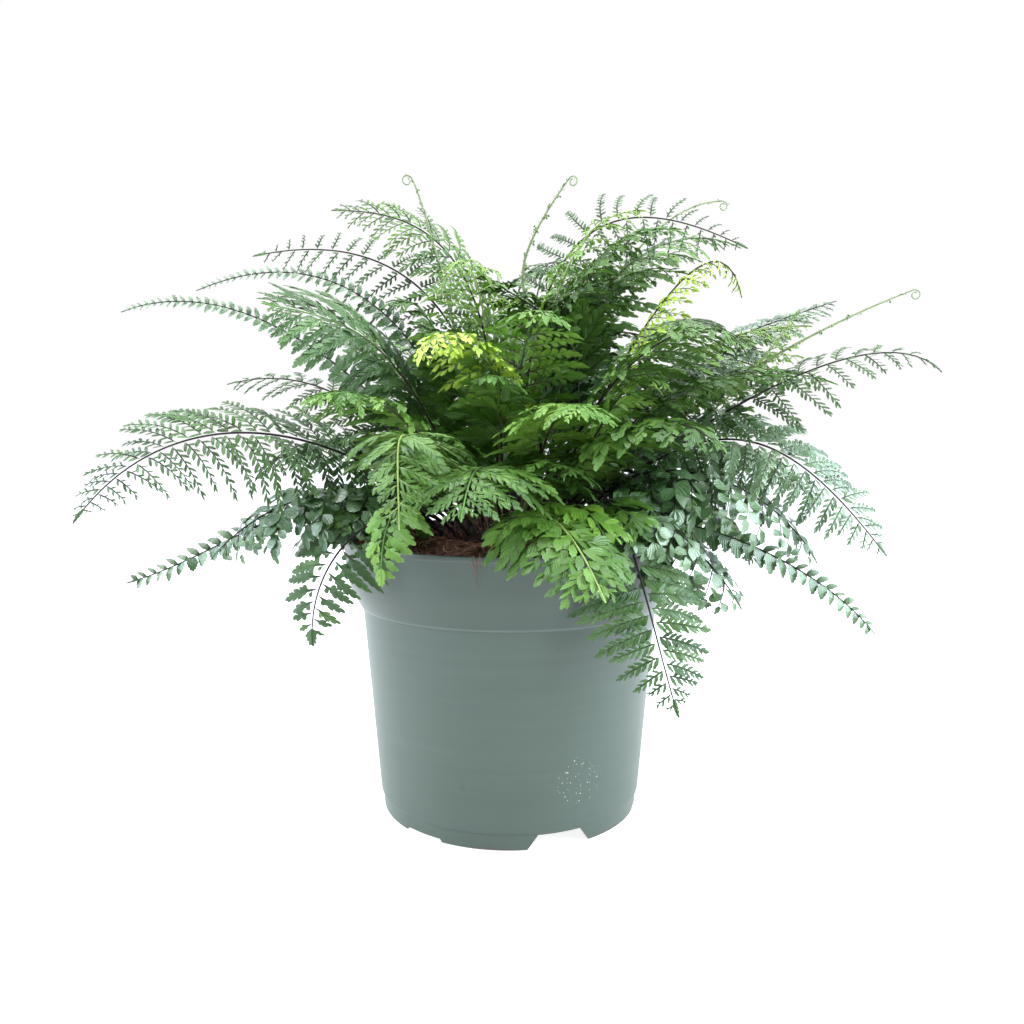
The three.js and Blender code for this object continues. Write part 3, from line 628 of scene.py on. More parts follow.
class Tree:
    """A material's or world's nodes. An input's value is a constant, a colour or another node's output."""

    def __init__(self, owner):
        owner.use_nodes = True
        self.nodes, self.links = owner.node_tree.nodes, owner.node_tree.links

    def put(self, socket, value):
        if isinstance(value, bpy.types.NodeSocket):
            self.links.new(value, socket)
        else:
            socket.default_value = linear(value) if isinstance(value, str) else value

    def add(self, kind, inputs, **settings):
        node = self.nodes.new("ShaderNode" + kind)
        for name, value in settings.items():
            setattr(node, name, value)
        for name, value in inputs.items():
            self.put(node.inputs[name], value)
        return node

    def math(self, operation, *values, clamp=False):
        return self.add("Math", dict(enumerate(values)), operation=operation, use_clamp=clamp).outputs[0]

    def times(self, a, b):
        return self.math("MULTIPLY", a, b)

    def line(self, value, by, plus, clamp=False):
        return self.math("MULTIPLY_ADD", value, by, plus, clamp=clamp)

    def above(self, value, limit):
        return self.math("GREATER_THAN", value, limit)

    def under(self, value, limit):
        return self.math("LESS_THAN", value, limit)

    def place(self):
        return self.add("TexCoord", {}).outputs["Object"]

    def noise(self, scale, detail=3, rough=0.5, vector=None):
        vector = self.place() if vector is None else vector
        inputs = {"Scale": scale, "Detail": detail, "Roughness": rough, "Vector": vector}
        return self.add("TexNoise", inputs).outputs["Fac"]

    def ramp(self, fac, stops):
        node = self.add("ValToRGB", {"Fac": fac})
        elements = node.color_ramp.elements
        while len(elements) < len(stops):
            elements.new(0.5)
        for element, (at, colour) in zip(elements, stops.items(), strict=True):
            element.position = at
            element.color = linear(colour) if isinstance(colour, str) else colour
        return node.outputs["Color"]

    def blend(self, fac, a, b):
        return self.add("Mix", {"Factor": fac, "A": a, "B": b}, data_type="RGBA").outputs["Result"]

    def split(self, vector):
        return self.add("SeparateXYZ", {0: vector}).outputs

    def spread(self, value, low, high):
        return self.add("MapRange", {"To Min": low, "To Max": high, "Value": value}).outputs["Result"]


class Surface(Tree):
    """A new material, with its nodes."""

    def __init__(self, name):
        self.material = bpy.data.materials.new(name)
        super().__init__(self.material)

    def tint(self):
        return self.split(self.add("Attribute", {}, attribute_name="tint").outputs["Vector"])

    def finish(self, colour, rough, specular, **more):
        shader = self.nodes["Principled BSDF"]
        inputs = {"Base Color": colour, "Roughness": rough, "Specular IOR Level": specular}
        for name, value in {**inputs, **more}.items():
            self.put(shader.inputs[name.replace("_", " ")], value)
        return self.material

    def bump(self, height, strength, distance):
        node = self.add("Bump", {"Strength": strength, "Distance": distance * MM, "Height": height})
        return node.outputs["Normal"]


def leaf_material(name, dark, mid, light, rough, edge, coat=0.0):
    s = Surface(name)
    vein, across, tone = s.tint()
    mottle, wide = s.noise(170), s.noise(28, 2)
    fac = s.line(tone, 0.45, s.times(wide, 0.6))
    fac = s.line(mottle, 0.25, s.math("SUBTRACT", fac, 0.12))
    colour = s.ramp(fac, {0.12: dark, 0.5: mid, 0.9: light})
    # veins, the rib and the rim are paler
    lines = s.math("SINE", s.times(vein, 40.0))
    rib = s.math("SUBTRACT", 1.0, s.times(across, 9.0), clamp=True)
    pale = s.line(rib, 0.35, s.times(lines, 0.1), clamp=True)
    colour = s.blend(pale, colour, light)
    rim = s.math("POWER", across, 8.0)
    colour = s.blend(s.times(rim, 0.35), colour, edge)
    height = s.line(s.times(lines, 0.5), 0.6, s.times(mottle, 0.5))
    gloss, normal = s.spread(mottle, rough - 0.06, rough + 0.12), s.bump(height, 0.5, 0.4)
    return s.finish(colour, gloss, 0.42, Coat_Weight=coat, Coat_Roughness=0.16, Normal=normal)


def stem_material(name, low, middle, high, rough=0.6):
    s = Surface(name)
    grain = s.noise(260)
    fac = s.line(grain, 0.16, s.math("SUBTRACT", s.tint()["X"], 0.08))
    colour = s.ramp(fac, {0.0: low, 0.55: middle, 0.98: high})
    return s.finish(colour, rough, 0.16, Normal=s.bump(grain, 0.3, 0.2))


DUST_AT, DUST_RADIUS = (0.038, -0.07, 0.035), 0.014  # metres
# the crease's half width, and how far above the crease the collar's painted shade starts (metres)
CREASE_HALF, COLLAR_SHADE_FROM = 0.0005, 0.001


def pot_material():
    s = Surface("pot_plastic")
    place = s.place()
    cloud, grain = s.noise(14, 4, 0.55, place), s.noise(900, 3, 0.6, place)
    squashed = s.add("Mapping", {"Scale": (1, 1, 34), "Vector": place}).outputs["Vector"]
    rings = s.noise(9, 3, 0.5, squashed)
    fac = s.line(rings, 0.35, s.times(cloud, 0.65))
    colour = s.ramp(fac, {0.3: "#3c4840", 0.7: "#455148"})
    # a patch of pale dust low on the wall, and dark specks all over
    dust = s.above(s.noise(800, 2, 0.7, place), 0.68)
    away = s.add("VectorMath", {0: place, 1: DUST_AT}, operation="DISTANCE").outputs["Value"]
    near = s.under(away, DUST_RADIUS)
    colour = s.blend(s.times(dust, near), colour, "#c4c4ac")
    speck = s.above(s.noise(130, 1, 0.5, place), 0.775)
    colour = s.blend(s.times(speck, 0.7), colour, "#3f443c")
    # the crease under the collar: a painted highlight along it, and painted shade in the corner below it
    height = s.split(place)["Z"]
    below = s.math("SUBTRACT", NECK_HEIGHT * MM, height)
    # painted highlight: a thin pale line along the crease
    line = s.under(s.math("ABSOLUTE", below), CREASE_HALF)
    colour = s.blend(s.times(line, 0.1), colour, "#a9b8b4")
    # painted shade below the crease, fading downwards
    crease_shade_fade = s.line(below, -250.0, 1.0, clamp=True)
    under = s.above(below, CREASE_HALF)
    colour = s.blend(s.times(s.times(crease_shade_fade, under), 0.3), colour, "#2c3630")
    # painted shade: the collar is a little darker than the body, as if in the leaves' shadow
    collar_shade = s.under(below, -COLLAR_SHADE_FROM)
    colour = s.blend(s.times(collar_shade, 0.45), colour, "#2c3630")
    # earth along the foot
    low = s.line(height, -240.0, 0.7, clamp=True)
    soiled = s.above(s.noise(75, 4, 0.7, place), 0.54)
    colour = s.blend(s.times(low, soiled), colour, "#4a3b31")
    relief = s.line(rings, 0.4, s.times(grain, 0.14))
    return s.finish(colour, s.spread(cloud, 0.34, 0.46), 0.45, Normal=s.bump(relief, 0.3, 0.4))


def earth_material(name, dark, light, scale, rough=0.95):
    s = Surface(name)
    crumb = s.noise(scale, 6, 0.7)
    colour = s.ramp(crumb, {0.32: dark, 0.68: light})
    return s.finish(colour, rough, 0.2, Normal=s.bump(crumb, 0.9, 1.5))


def fibre_material():
    s = Surface("coir")
    colour = s.ramp(s.tint()["Z"], {0.0: "#4a3028", 0.5: "#835443", 0.85: "#a8745c", 1.0: "#c49a80"})
    return s.finish(colour, 0.7, 0.5)


LEAF_LOOKS = {
    "green": ("#244212", "#3f621b", "#5d8131", 0.36, "#50742a"),
    "deep": ("#203c16", "#345322", "#507138", 0.38, "#43622d"),
    "glossy": ("#274624", "#436136", "#6a865e", 0.26, "#5c7a4e", 0.5),
    "bright": ("#365f15", "#547c22", "#77993b", 0.36, "#668a30"),
    "lime": ("#88ac30", "#abca42", "#c9dd6a", 0.34, "#b8d056"),
}
STEM_LOOKS = {
    "black": ("#1a1214", "#241a1c", "#2b3320"),
    "brown": ("#2a1d1a", "#3b3322", "#56803a"),
    "lime": ("#6a5a3c", "#70803f", "#8fa35c", 0.42),
    "young": ("#5f6c38", "#737f50", "#7f8a68", 0.45),
}
LEAVES = {name: leaf_material("leaf_" + name, *look) for name, look in LEAF_LOOKS.items()}
STEMS = {name: stem_material("stem_" + name, *look) for name, look in STEM_LOOKS.items()}

# ---- The fronds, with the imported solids' names and curves ----
# Pairs of a leaf colour and a stem colour
PLAIN = ("green", "black")
DARK = ("deep", "black")
GLOSSY = ("glossy", "black")
SOFT = ("green", "brown")
FRESH = ("bright", "brown")
PALE = ("bright", "lime")
MILD = ("green", "lime")
LIMY = ("lime", "lime")
LIME_ON_BLACK = ("lime", "black")
DARK_ON_BROWN = ("deep", "brown")
YOUNG = ("green", "young")
FRONDS = [
    # name, az, ring, rise, reach, tip, fall, half, bare, kind (a crozier has none), colours, what is its own
    ("crozier_top", 321, 0, 70, 38, 349, 48, 5, 0.5, None, YOUNG,
     dict(at=316, swing=6, lead=0.79, trail=0.54)),
    ("crozier_left", 197, 0, 76, 55, 350, 64, 4, 0.55, None, YOUNG, dict(at=227, lead=0.33, trail=0.16)),
    ("crozier_high", 23, 0, 76, 134, 352, 3, 4, 0.6, None, YOUNG, dict(at=48, swing=-6, trail=0.24)),
    ("crozier_right", 6, 2, 46, 226, 293, 21, 4, 0.5, None, YOUNG,
     dict(at=9, swing=-7, lead=0.23, trail=0.44)),
    ("crozier_back", 95, 1, 80, 88, 316, 50, 4, 0.55, None, YOUNG, dict(at=105)),
    ("low_left", 193, 3, 51, 209, 134, -14, 10, 0.3, SIMPLE, GLOSSY, dict(at=176, trail=0.36, roll=-24)),
    ("low_front_left", 206, 3, 48, 166, 150, -50, 38, 0.3, COINS, GLOSSY, dict(roll=-10)),
    ("hang_left", 223, 3, 57, 130, 110, -95, 30, 0.38, SERRATE, DARK,
     dict(trail=0.58, roll=-32, spread=[86, 66])),
    ("hang_lime", 239, 3, 45, 116, 141, -94, 18, 0.5, SERRATE, FRESH, dict(lead=0.79, trail=0.6)),
    ("front_lime", 275, 3, 50, 163, 145, -40, 38, 0.3, BROAD, MILD, dict(swing=9, lead=0.3, trail=0.5)),
    ("low_front", 292, 3, 56, 122, 160, -55, 34, 0.34, BROAD, FRESH, {}),
    ("hang_right", 305, 3, 58, 137, 82, -63, 46, 0.36, LACY, DARK,
     dict(lead=0.8, trail=0.48, roll=25, lean=-8, spread=[92, 68])),
    ("glossy_right", 317, 3, 58, 130, 148, -60, 34, 0.34, COINS, GLOSSY, {}),
    ("low_front_right", 325, 3, 45, 140, 126, -66, 34, 0.32, COINS, GLOSSY,
     dict(at=330, lead=0.6, trail=0.15, roll=15)),
    ("low_right", 355, 3, 36, 202, 104, -54, 10, 0.3, SIMPLE, GLOSSY,
     dict(at=357, swing=-6, lead=0.3, trail=0.3, roll=20)),
    ("low_back_right", 30, 3, 45, 200, 120, -50, 42, 0.28, BROAD, PLAIN, {}),
    ("low_back", 88, 3, 45, 160, 116, -55, 42, 0.28, LACY, PLAIN, {}),
    ("low_back_left", 140, 3, 45, 200, 122, -48, 42, 0.28, COINS, GLOSSY, {}),
    ("arch_left", 204, 2, 43, 227, 170, -56, 48, 0.3, FINE, DARK,
     dict(at=196, lead=0.52, roll=-42, lean=25, spread=[98, 78])),
    ("front_left", 226, 2, 62, 139, 226, -28, 40, 0.32, NARROW, FRESH, {}),
    ("front_glossy", 235, 2, 40, 138, 171, -94, 34, 0.34, NARROW, MILD,
     dict(at=240, swing=15, lead=0.85, trail=0.6, spread=[80, 56])),
    ("front_broad", 262, 2, 60, 144, 176, -52, 44, 0.32, LACY, SOFT, {}),
    ("front_right", 287, 2, 66, 120, 218, -42, 40, 0.34, LACY, FRESH, {}),
    ("side_front", 310, 2, 60, 150, 205, -42, 42, 0.32, BROAD, PLAIN, {}),
    ("side_right", 335, 2, 53, 170, 148, -62, 42, 0.3, COINS, GLOSSY, dict(at=332, lead=0.53, roll=10)),
    ("arch_right", 345, 2, 41, 202, 152, -53, 46, 0.28, LACY, GLOSSY,
     dict(swing=-7, lead=0.61, trail=0.57, roll=42, spread=[88, 66])),
    ("mid_far_right", 20, 2, 50, 208, 172, -45, 42, 0.3, LACY, DARK, {}),
    ("mid_back_right", 48, 2, 55, 188, 188, -45, 42, 0.28, BROAD, DARK, {}),
    ("mid_back", 108, 2, 55, 165, 180, -48, 42, 0.28, BROAD, PLAIN, {}),
    ("mid_back_left", 152, 2, 52, 196, 180, -42, 42, 0.28, SMALL_BROAD, DARK, {}),
    ("mid_left", 170, 2, 58, 174, 242, -14, 34, 0.32, SPARSE, DARK, dict(roll=-25)),
    ("high_left", 173, 1, 58, 228, 283, -21, 10, 0.34, SMALL_SIMPLE, GLOSSY,
     dict(at=188, swing=3, lead=0.42, trail=0.31, roll=-20)),
    ("high_far_left", 158, 1, 79, 196, 299, -21, 10, 0.36, SMALL_SIMPLE, GLOSSY,
     dict(at=150, swing=10, trail=0.48, roll=-20)),
    ("high_front_left", 204, 1, 64, 142, 276, 5, 46, 0.36, NARROW, DARK_ON_BROWN,
     dict(at=212, swing=8, lead=0.66, roll=-48, spread=[60, 42])),
    ("young_lime", 257, 2, 83, 96, 244, -69, 24, 0.45, TENDER, LIMY, dict(at=299, swing=-14, lead=0.78)),
    ("high_front", 280, 1, 84, 100, 262, -48, 36, 0.36, FORKED, FRESH, dict(at=264)),
    ("high_front_right", 320, 1, 66, 150, 252, -38, 42, 0.34, LACY, PLAIN, {}),
    ("high_right", 351, 2, 41, 229, 244, -50, 38, 0.4, SPARSE, DARK,
     dict(at=358, swing=-3, lead=0.3, trail=0.25, roll=26, spread=[88, 62])),
    ("lime_right", 354, 1, 50, 163, 283, 57, 16, 0.5, WISPY, PALE,
     dict(at=350, swing=4, trail=0.61, roll=20)),
    ("upper_right", 12, 1, 58, 199, 292, 17, 34, 0.36, LACY, GLOSSY,
     dict(at=14, swing=-3, lead=0.33, trail=0.58, roll=22)),
    ("high_back_right", 38, 1, 60, 190, 280, -25, 42, 0.32, LACY, PLAIN, {}),
    ("high_back", 80, 1, 62, 159, 250, -40, 42, 0.32, LACY, FRESH, {}),
    ("high_back_left", 130, 1, 62, 178, 268, -30, 42, 0.32, FINE, PLAIN, {}),
    ("top_right", 1, 0, 92, 131, 312, -29, 44, 0.44, BEADS, DARK,
     dict(at=340, swing=-10, lead=0.95, trail=0.41, roll=52, spread=[98, 76])),
    ("top_mid_right", 14, 0, 86, 144, 323, -23, 36, 0.42, FORKED, SOFT,
     dict(at=12, lead=0.64, trail=0.27, roll=16)),
    ("lime_hanging", 340, 1, 66, 128, 282, -78, 22, 0.45, WISPY, LIME_ON_BLACK,
     dict(lead=0.3, trail=0.46)),
    ("top_left", 188, 0, 92, 99, 334, -3, 36, 0.44, FINE, PLAIN,
     dict(at=204, lead=0.75, trail=0.32, roll=-45)),
    ("top_far_left", 182, 0, 90, 144, 311, -13, 38, 0.42, BEADS, DARK,
     dict(at=174, lead=0.38, trail=0.57, roll=-50, lean=-18, spread=[94, 76])),
    ("top_front", 250, 0, 80, 84, 290, -40, 34, 0.44, WISPY, PALE, {}),
    ("front_inner", 287, 3, 68, 53, 295, 13, 26, 0.5, LACY, PLAIN,
     dict(at=323, swing=-36, lead=0.8, trail=0.69)),
    ("top_back", 72, 0, 74, 116, 316, -34, 42, 0.4, FORKED, PLAIN, dict(at=80)),
]

# Shorter fronds between the others, in five tiers, that close the plant's middle
THIN = [(FINE, PLAIN), (WISPY, PALE), (FORKED, SOFT)]
LIGHT = [(LACY, SOFT), (FORKED, DARK), (SMALL_BROAD, SOFT)]
MIXED = [*LIGHT, (BROAD, SOFT), (SMALL_BROAD, FRESH), (COINS, DARK)]
TIERS = [
    # name, looks, count, ring, first and last az; ranges of rise, reach, tip, fall and half; bare
    ("under_low", MIXED, 17, 3, (-82, 196), (34, 50), (92, 128), (150, 182), (-60, -35), (24, 31), 0.26),
    ("under_mid", MIXED, 18, 2, (0, 360), (54, 66), (78, 120), (192, 236), (-52, -28), (27, 35), 0.3),
    ("under_high", LIGHT, 12, 1, (-66, 238), (68, 80), (48, 96), (242, 288), (-40, -12), (25, 33), 0.36),
    ("right_high", THIN, 7, 1, (-26, 22), (48, 58), (150, 196), (236, 280), (-24, 6), (24, 32), 0.4),
    ("right_top", THIN, 8, 0, (-50, 70), (78, 90), (90, 134), (296, 326), (-30, -8), (26, 32), 0.42),
]
TIER_TURN = 7  # degrees that each ring is turned by, so that no two tiers line up
UNEVEN, ROLL = 0.3, 18


def undergrowth():
    """The rows of the shorter fronds."""
    rows = []
    for name, looks, count, ring, (first, last), *spans, bare in TIERS:
        for i in range(count):
            az = first + (last - first) * (i + 0.5 + rng.uniform(-UNEVEN, UNEVEN)) / count + TIER_TURN * ring
            shape = [rng.uniform(*span) for span in spans]
            kind, colours = looks[rng.integers(len(looks))]
            own = {"roll": rng.uniform(-ROLL, ROLL)}
            rows.append((f"{name}_{i + 1}", az, ring, *shape, bare, kind, colours, own))
    return rows


SLOTS = {row["node"]: row["material_slot"] for row in frame["record"]["subparts"]}


def build_frond(row):
    blade = Blade(*row)
    heap = frond(blade) if blade.kind else crozier(blade)
    return blade.name, heap.mesh(blade.name, [STEMS[blade.stem], LEAVES[blade.colour]])


for row in FRONDS:
    name, mesh = build_frond(row)
    piece("fern_" + name, mesh, SLOTS[name], name)
for row in undergrowth():
    name, mesh = build_frond(row)
    piece("fern_" + name, mesh, "leaf")


# ---- Pot ----
def rounded(profile, steps=5):
    """A closed outline of (radius, height, corner radius) rows with its corners rounded."""
    out = []
    n = len(profile)
    for i, (r, z, c) in enumerate(profile):
        here = np.array([r, z], float)
        if c == 0:
            out.append(here)
            continue
        before, after = np.array(profile[i - 1][:2], float), np.array(profile[(i + 1) % n][:2], float)
        a, b = before - here, after - here
        cut = min(c, 0.45 * np.linalg.norm(a), 0.45 * np.linalg.norm(b))
        p, q = here + a / np.linalg.norm(a) * cut, here + b / np.linalg.norm(b) * cut
        for t in np.linspace(0, 1, steps):
            out.append((1 - t) ** 2 * p + 2 * t * (1 - t) * here + t * t * q)
    return np.array(out)


def lathe(profile, sides):
    """Points and triangles of a profile, from axis to axis, turned about Z."""
    body = profile[1:-1, :, None]
    return closed(turned(body[:, 0], circle(sides), body[:, 1]), profile[0][1], profile[-1][1])


def solid_mesh(name, points, faces, materials=(), sharp=35):
    heap = Heap()
    heap.add(points, np.asarray(faces), 0)
    return heap.mesh(name, materials, sharp)


BLOCK_QUADS = [(3, 2, 1, 0), (4, 5, 6, 7), (0, 1, 5, 4), (1, 2, 6, 5), (2, 3, 7, 6), (3, 0, 4, 7)]
CUT_REACH, CUT_UNDER = 20, 2  # how far a notch's cutter goes in and out from the foot ring, and below it


def notch_block(angle, wide, narrow, high):
    """The eight-cornered block that cuts a notch, wider below; its points and triangles."""
    inner, outer = FOOT_RADIUS - CUT_REACH, FOOT_RADIUS + CUT_REACH
    low = wide / 2 + (wide - narrow) / 2 * CUT_UNDER / high
    points = []
    for half, z in ((low, -CUT_UNDER), (narrow / 2, high)):
        points += [(inner, -half, z), (outer, -half, z), (outer, half, z), (inner, half, z)]
    a = np.radians(angle)
    turn = np.array([[np.cos(a), -np.sin(a), 0], [np.sin(a), np.cos(a), 0], [0, 0, 1]])
    faces = [t for a, b, c, d in BLOCK_QUADS for t in ((a, b, c), (a, c, d))]
    return np.array(points) @ turn.T, faces


def carve(mesh, cutters):
    """The mesh with each cutter's shape taken out of it."""
    ob = new_object("carved", mesh)
    tools = []
    for points, faces in cutters:
        tool = new_object("cutter", solid_mesh("cutter", points, faces))
        tools.append(tool)
        cut = ob.modifiers.new("cut", "BOOLEAN")
        cut.operation, cut.solver, cut.object = "DIFFERENCE", "EXACT", tool
    bpy.context.view_layer.update()
    done = bpy.data.meshes.new_from_object(ob.evaluated_get(bpy.context.evaluated_depsgraph_get()))
    for old in (ob, *tools):
        bpy.data.objects.remove(old)
    return done


POT_TOP_FLOOR = FLOOR_UNDER + FLOOR_THICK
POT_OUTLINE = [
    (0, FLOOR_UNDER, 0),
    (FOOT_RADIUS - 6, FLOOR_UNDER, 0.8),
    (FOOT_RADIUS - 3, 0, 0.3),
    (FOOT_RADIUS - 1, 0, 0.5),
    (FOOT_RADIUS - 0.4, FLOOR_UNDER - 0.3, 0.25),
    (FOOT_RADIUS + 0.55, FLOOR_UNDER + 0.5, 0.3),
    (FOOT_RADIUS + 0.75, FLOOR_UNDER + 1.4, 0.3),
    (NECK_RADIUS - 0.1, NECK_HEIGHT - 1.6, 0.5),
    (NECK_RADIUS + 0.2, NECK_HEIGHT - 0.6, 0.3),
    (NECK_RADIUS + 1.5, NECK_HEIGHT + 0.2, 0.6),
    (COLLAR_RADIUS, COLLAR_BOTTOM, 7),
    (RIM_RADIUS - 0.8, POT_HEIGHT - 3.2, 0.4),
    (RIM_RADIUS, POT_HEIGHT - 2.4, 0.5),
    (RIM_RADIUS, POT_HEIGHT, 0.7),
    (RIM_RADIUS - WALL, POT_HEIGHT, 0.7),
    (COLLAR_RADIUS - WALL, COLLAR_BOTTOM, 4),
    (NECK_RADIUS - WALL, NECK_HEIGHT, 2),
    (mix(FOOT_RADIUS, NECK_RADIUS, POT_TOP_FLOOR / NECK_HEIGHT) - WALL, POT_TOP_FLOOR, 1.5),
    (0, POT_TOP_FLOOR, 0),
]
OUT_OF_ROUND, MOST_SWELL = 0.0022, 1.004
HOLE_BOTTOM, HOLE_TOP, HOLE_SIDES, HOLES = 5, 16, 24, 6


def make_pot():
    points, faces = lathe(rounded(POT_OUTLINE), POT_SIDES)
    r = np.hypot(points[:, 0], points[:, 1])
    a = np.arctan2(points[:, 1], points[:, 0])
    # the thin wall is a little out of round at the rim
    swell = 1 + OUT_OF_ROUND * np.sin(2 * a + 0.6) * np.clip(points[:, 2] / POT_HEIGHT, 0, 1) ** 2
    points[:, :2] *= np.minimum(swell, RIM_RADIUS / np.maximum(r, 1) * MOST_SWELL)[:, None]
    cutters = []
    for i in range(3):
        cutters.append(notch_block(FIRST_NOTCH + 120 * i, NOTCH_WIDE, NOTCH_NARROW, NOTCH_HIGH))
        cutters.append(notch_block(FIRST_NOTCH + 60 + 120 * i, SLOT_WIDE, SLOT_NARROW, SLOT_HIGH))
    hole = [[0, HOLE_BOTTOM], [DRAIN_RADIUS, HOLE_BOTTOM], [DRAIN_RADIUS, HOLE_TOP], [0, HOLE_TOP]]
    hole_points, hole_faces = lathe(np.array(hole, float), HOLE_SIDES)
    for i in range(HOLES):
        cutters.append((hole_points + flat(360.0 / HOLES * i) * DRAIN_RING, hole_faces))
    mesh = carve(solid_mesh("pot", points, faces), cutters)
    mesh.materials.clear()
    mesh.materials.append(pot_material())
    smooth(mesh, 38)
    return mesh


piece("nursery_pot", make_pot(), SLOTS["pot"], "pot")


# ---- Soil ----
def inside_radius(z):
    heights = [0, NECK_HEIGHT, COLLAR_BOTTOM, POT_HEIGHT]
    radii = [FOOT_RADIUS, NECK_RADIUS, COLLAR_RADIUS, RIM_RADIUS - 0.8]
    return np.interp(z, heights, radii) - WALL - SOIL_GAP


SOIL_RADIUS = inside_radius(SOIL_EDGE)
SOIL_INSET, SOIL_SIDES, SOIL_RINGS = 0.3, 180, 60
SOIL_FLOOR = POT_TOP_FLOOR + 0.4


def soil_height(x, y):
    r = np.hypot(x, y)
    rise = mix(SOIL_TOP, SOIL_EDGE, np.clip((r - CROWN_RADIUS) / (SOIL_RADIUS - CROWN_RADIUS), 0, 1))
    lumps = np.sin(x / 6.5 + 1) * np.cos(y / 6.5) + 0.6 * np.sin(x / 2.9 + y / 4.1) * np.cos(y / 3.3 - x / 7)
    fine = 0.5 * np.sin(x / 1.3 + 2 * np.sin(y / 2.1)) * np.sin(y / 1.1 + 1.5 * np.sin(x / 1.7))
    return rise + 1.3 * lumps + 0.8 * fine


def make_soil():
    a = circle(SOIL_SIDES)
    radii = np.linspace(0, SOIL_RADIUS - SOIL_INSET, SOIL_RINGS)[:0:-1, None]
    top = turned(radii, a, 0)
    top[..., 2] = soil_height(top[..., 0], top[..., 1])
    levels = np.array([SOIL_FLOOR, NECK_HEIGHT, COLLAR_BOTTOM + 1, SOIL_EDGE - 6])[:, None]
    rings = np.concatenate([turned(inside_radius(levels) - SOIL_INSET, a, levels), top])
    earth = earth_material("potting_mix", "#33221c", "#7a5343", 240)
    return solid_mesh("soil", *closed(rings, SOIL_FLOOR, soil_height(0, 0)), [earth], 80)


piece("potting_mix", make_soil(), SLOTS["soil"], "soil")

COIR = fibre_material()
FIBRES, FIBRE_STEPS, FIBRE_LIFT, FIBRE_RADIUS = 1400, (0.9, 2.3), 3.2, (0.13, 0.38)
FIBRE_SHAPE = np.array([0.5, 0.9, 1, 1, 1, 0.95, 0.8, 0.4])
ROOTS = ((259, 141), (260, 138), (261, 147), (262, 150))  # degrees, and the height each one hangs down to
ROOT_SHAPE = np.array([0.6, 1, 1, 1, 0.9, 0.7, 0.4])
ROOT_RADIUS, ROOT_BEND = 0.2, 153


def make_fibres():
    """Coir: thin curled fibres that lie on the soil, and a few roots over the rim."""
    heap = Heap()
    edge = SOIL_RADIUS - 3
    n = len(FIBRE_SHAPE)
    for _ in range(FIBRES):
        r = np.sqrt(rng.uniform((CROWN_RADIUS / edge) ** 2, 1)) * edge
        a = rng.uniform(0, 2 * np.pi)
        heading = rng.uniform(0, 2 * np.pi)
        bend = rng.normal(0, 0.22)
        step = rng.uniform(*FIBRE_STEPS)
        x, y = r * np.cos(a), r * np.sin(a)
        lift = rng.uniform(0, FIBRE_LIFT) * rng.uniform(0, 1)
        path = []
        for _ in range(n):
            path.append([x, y, 0])
            x, y = x + step * np.cos(heading), y + step * np.sin(heading)
            heading += bend + rng.normal(0, 0.25)
        path = np.array(path)
        out = np.hypot(path[:, 0], path[:, 1])
        path[:, :2] *= np.minimum(1, edge / out)[:, None]
        arch = np.sin(np.linspace(0, np.pi, n)) * lift
        path[:, 2] = soil_height(path[:, 0], path[:, 1]) + 0.15 + arch
        radii = rng.uniform(*FIBRE_RADIUS) * FIBRE_SHAPE
        tube(heap, path, radii, 3, 0, [0, 0, rng.uniform(0, 1)])
    over = RIM_RADIUS + np.array([0.6, 0.7, 0.1, -0.6])
    for az, low in ROOTS:
        r = np.array([84, 88, 92, *over])
        path = flat(az + rng.normal(0, 0.5, len(r)).cumsum()) * r[:, None]
        hanging = [ROOT_BEND, mix(ROOT_BEND, low, 0.5), low]
        path[:, 2] = [SOIL_EDGE + 3, ROOT_BEND, POT_HEIGHT + 0.6, POT_HEIGHT + 0.4, *hanging]
        tube(heap, path, ROOT_RADIUS * ROOT_SHAPE, 4, 0, [0, 0, 0.3])
    return heap.mesh("coir", [COIR], 80)


piece("coir_fibres", make_fibres(), SLOTS["soil"])

# ---- Crown ----
CROWN_SIDES, CROWN_ROWS, CROWN_INSET = 96, 26, 1.5
SCALY_ROWS, SCALE_SHAPE = 700, np.array([0.5, 0.62, 0.5, 0.3, 0.08])


def make_crown():
    heap = Heap()
    t = np.linspace(0, 1, CROWN_ROWS)
    r = (CROWN_RADIUS - CROWN_INSET) * np.sin(np.minimum(1, (1 - t) * 1.15) * np.pi / 2)[:, None]
    z = mix(SOIL_TOP - 4, CROWN_TOP - CROWN_INSET, np.sin(t * np.pi / 2))[:, None]
    rings = turned(r, circle(CROWN_SIDES), z)[:-1]
    x, y = rings[..., 0], rings[..., 1]
    knobs = np.sin(x / 4.2 + 1.3 * np.sin(y / 5)) * np.cos(y / 3.9 + x / 9)
    rings[..., 2] += 1.6 * knobs * np.minimum(1, t * 4)[:-1, None]
    heap.add(*closed(rings, SOIL_TOP - 12, CROWN_TOP - 1), 0)
    # narrow dark scales all over it
    s = np.linspace(0, 1, len(SCALE_SHAPE))[:, None]
    for _ in range(SCALY_ROWS):
        r = CROWN_RADIUS * np.sqrt(rng.uniform(0, 1))
        turn = rng.uniform(0, 360)
        foot = flat(turn) * r + np.array([0, 0, crown_height(r) - 3.5])
        way = unit(flat(turn + rng.normal(0, 40)) * rng.uniform(0, 0.8) + np.array([0, 0, 1]))
        long = rng.uniform(3.5, 7)
        path = foot + way * long * s + flat(turn + 90) * rng.normal(0, 0.5) * s * s
        tube(heap, path, SCALE_SHAPE, 3, 1, [0, 0, rng.uniform(0, 0.55)])
    bark = earth_material("rhizome", "#120d0c", "#30221d", 150, 0.85)
    return heap.mesh("crown", [bark, COIR], 60)


piece("rhizome_crown", make_crown(), SLOTS["crown"], "crown")

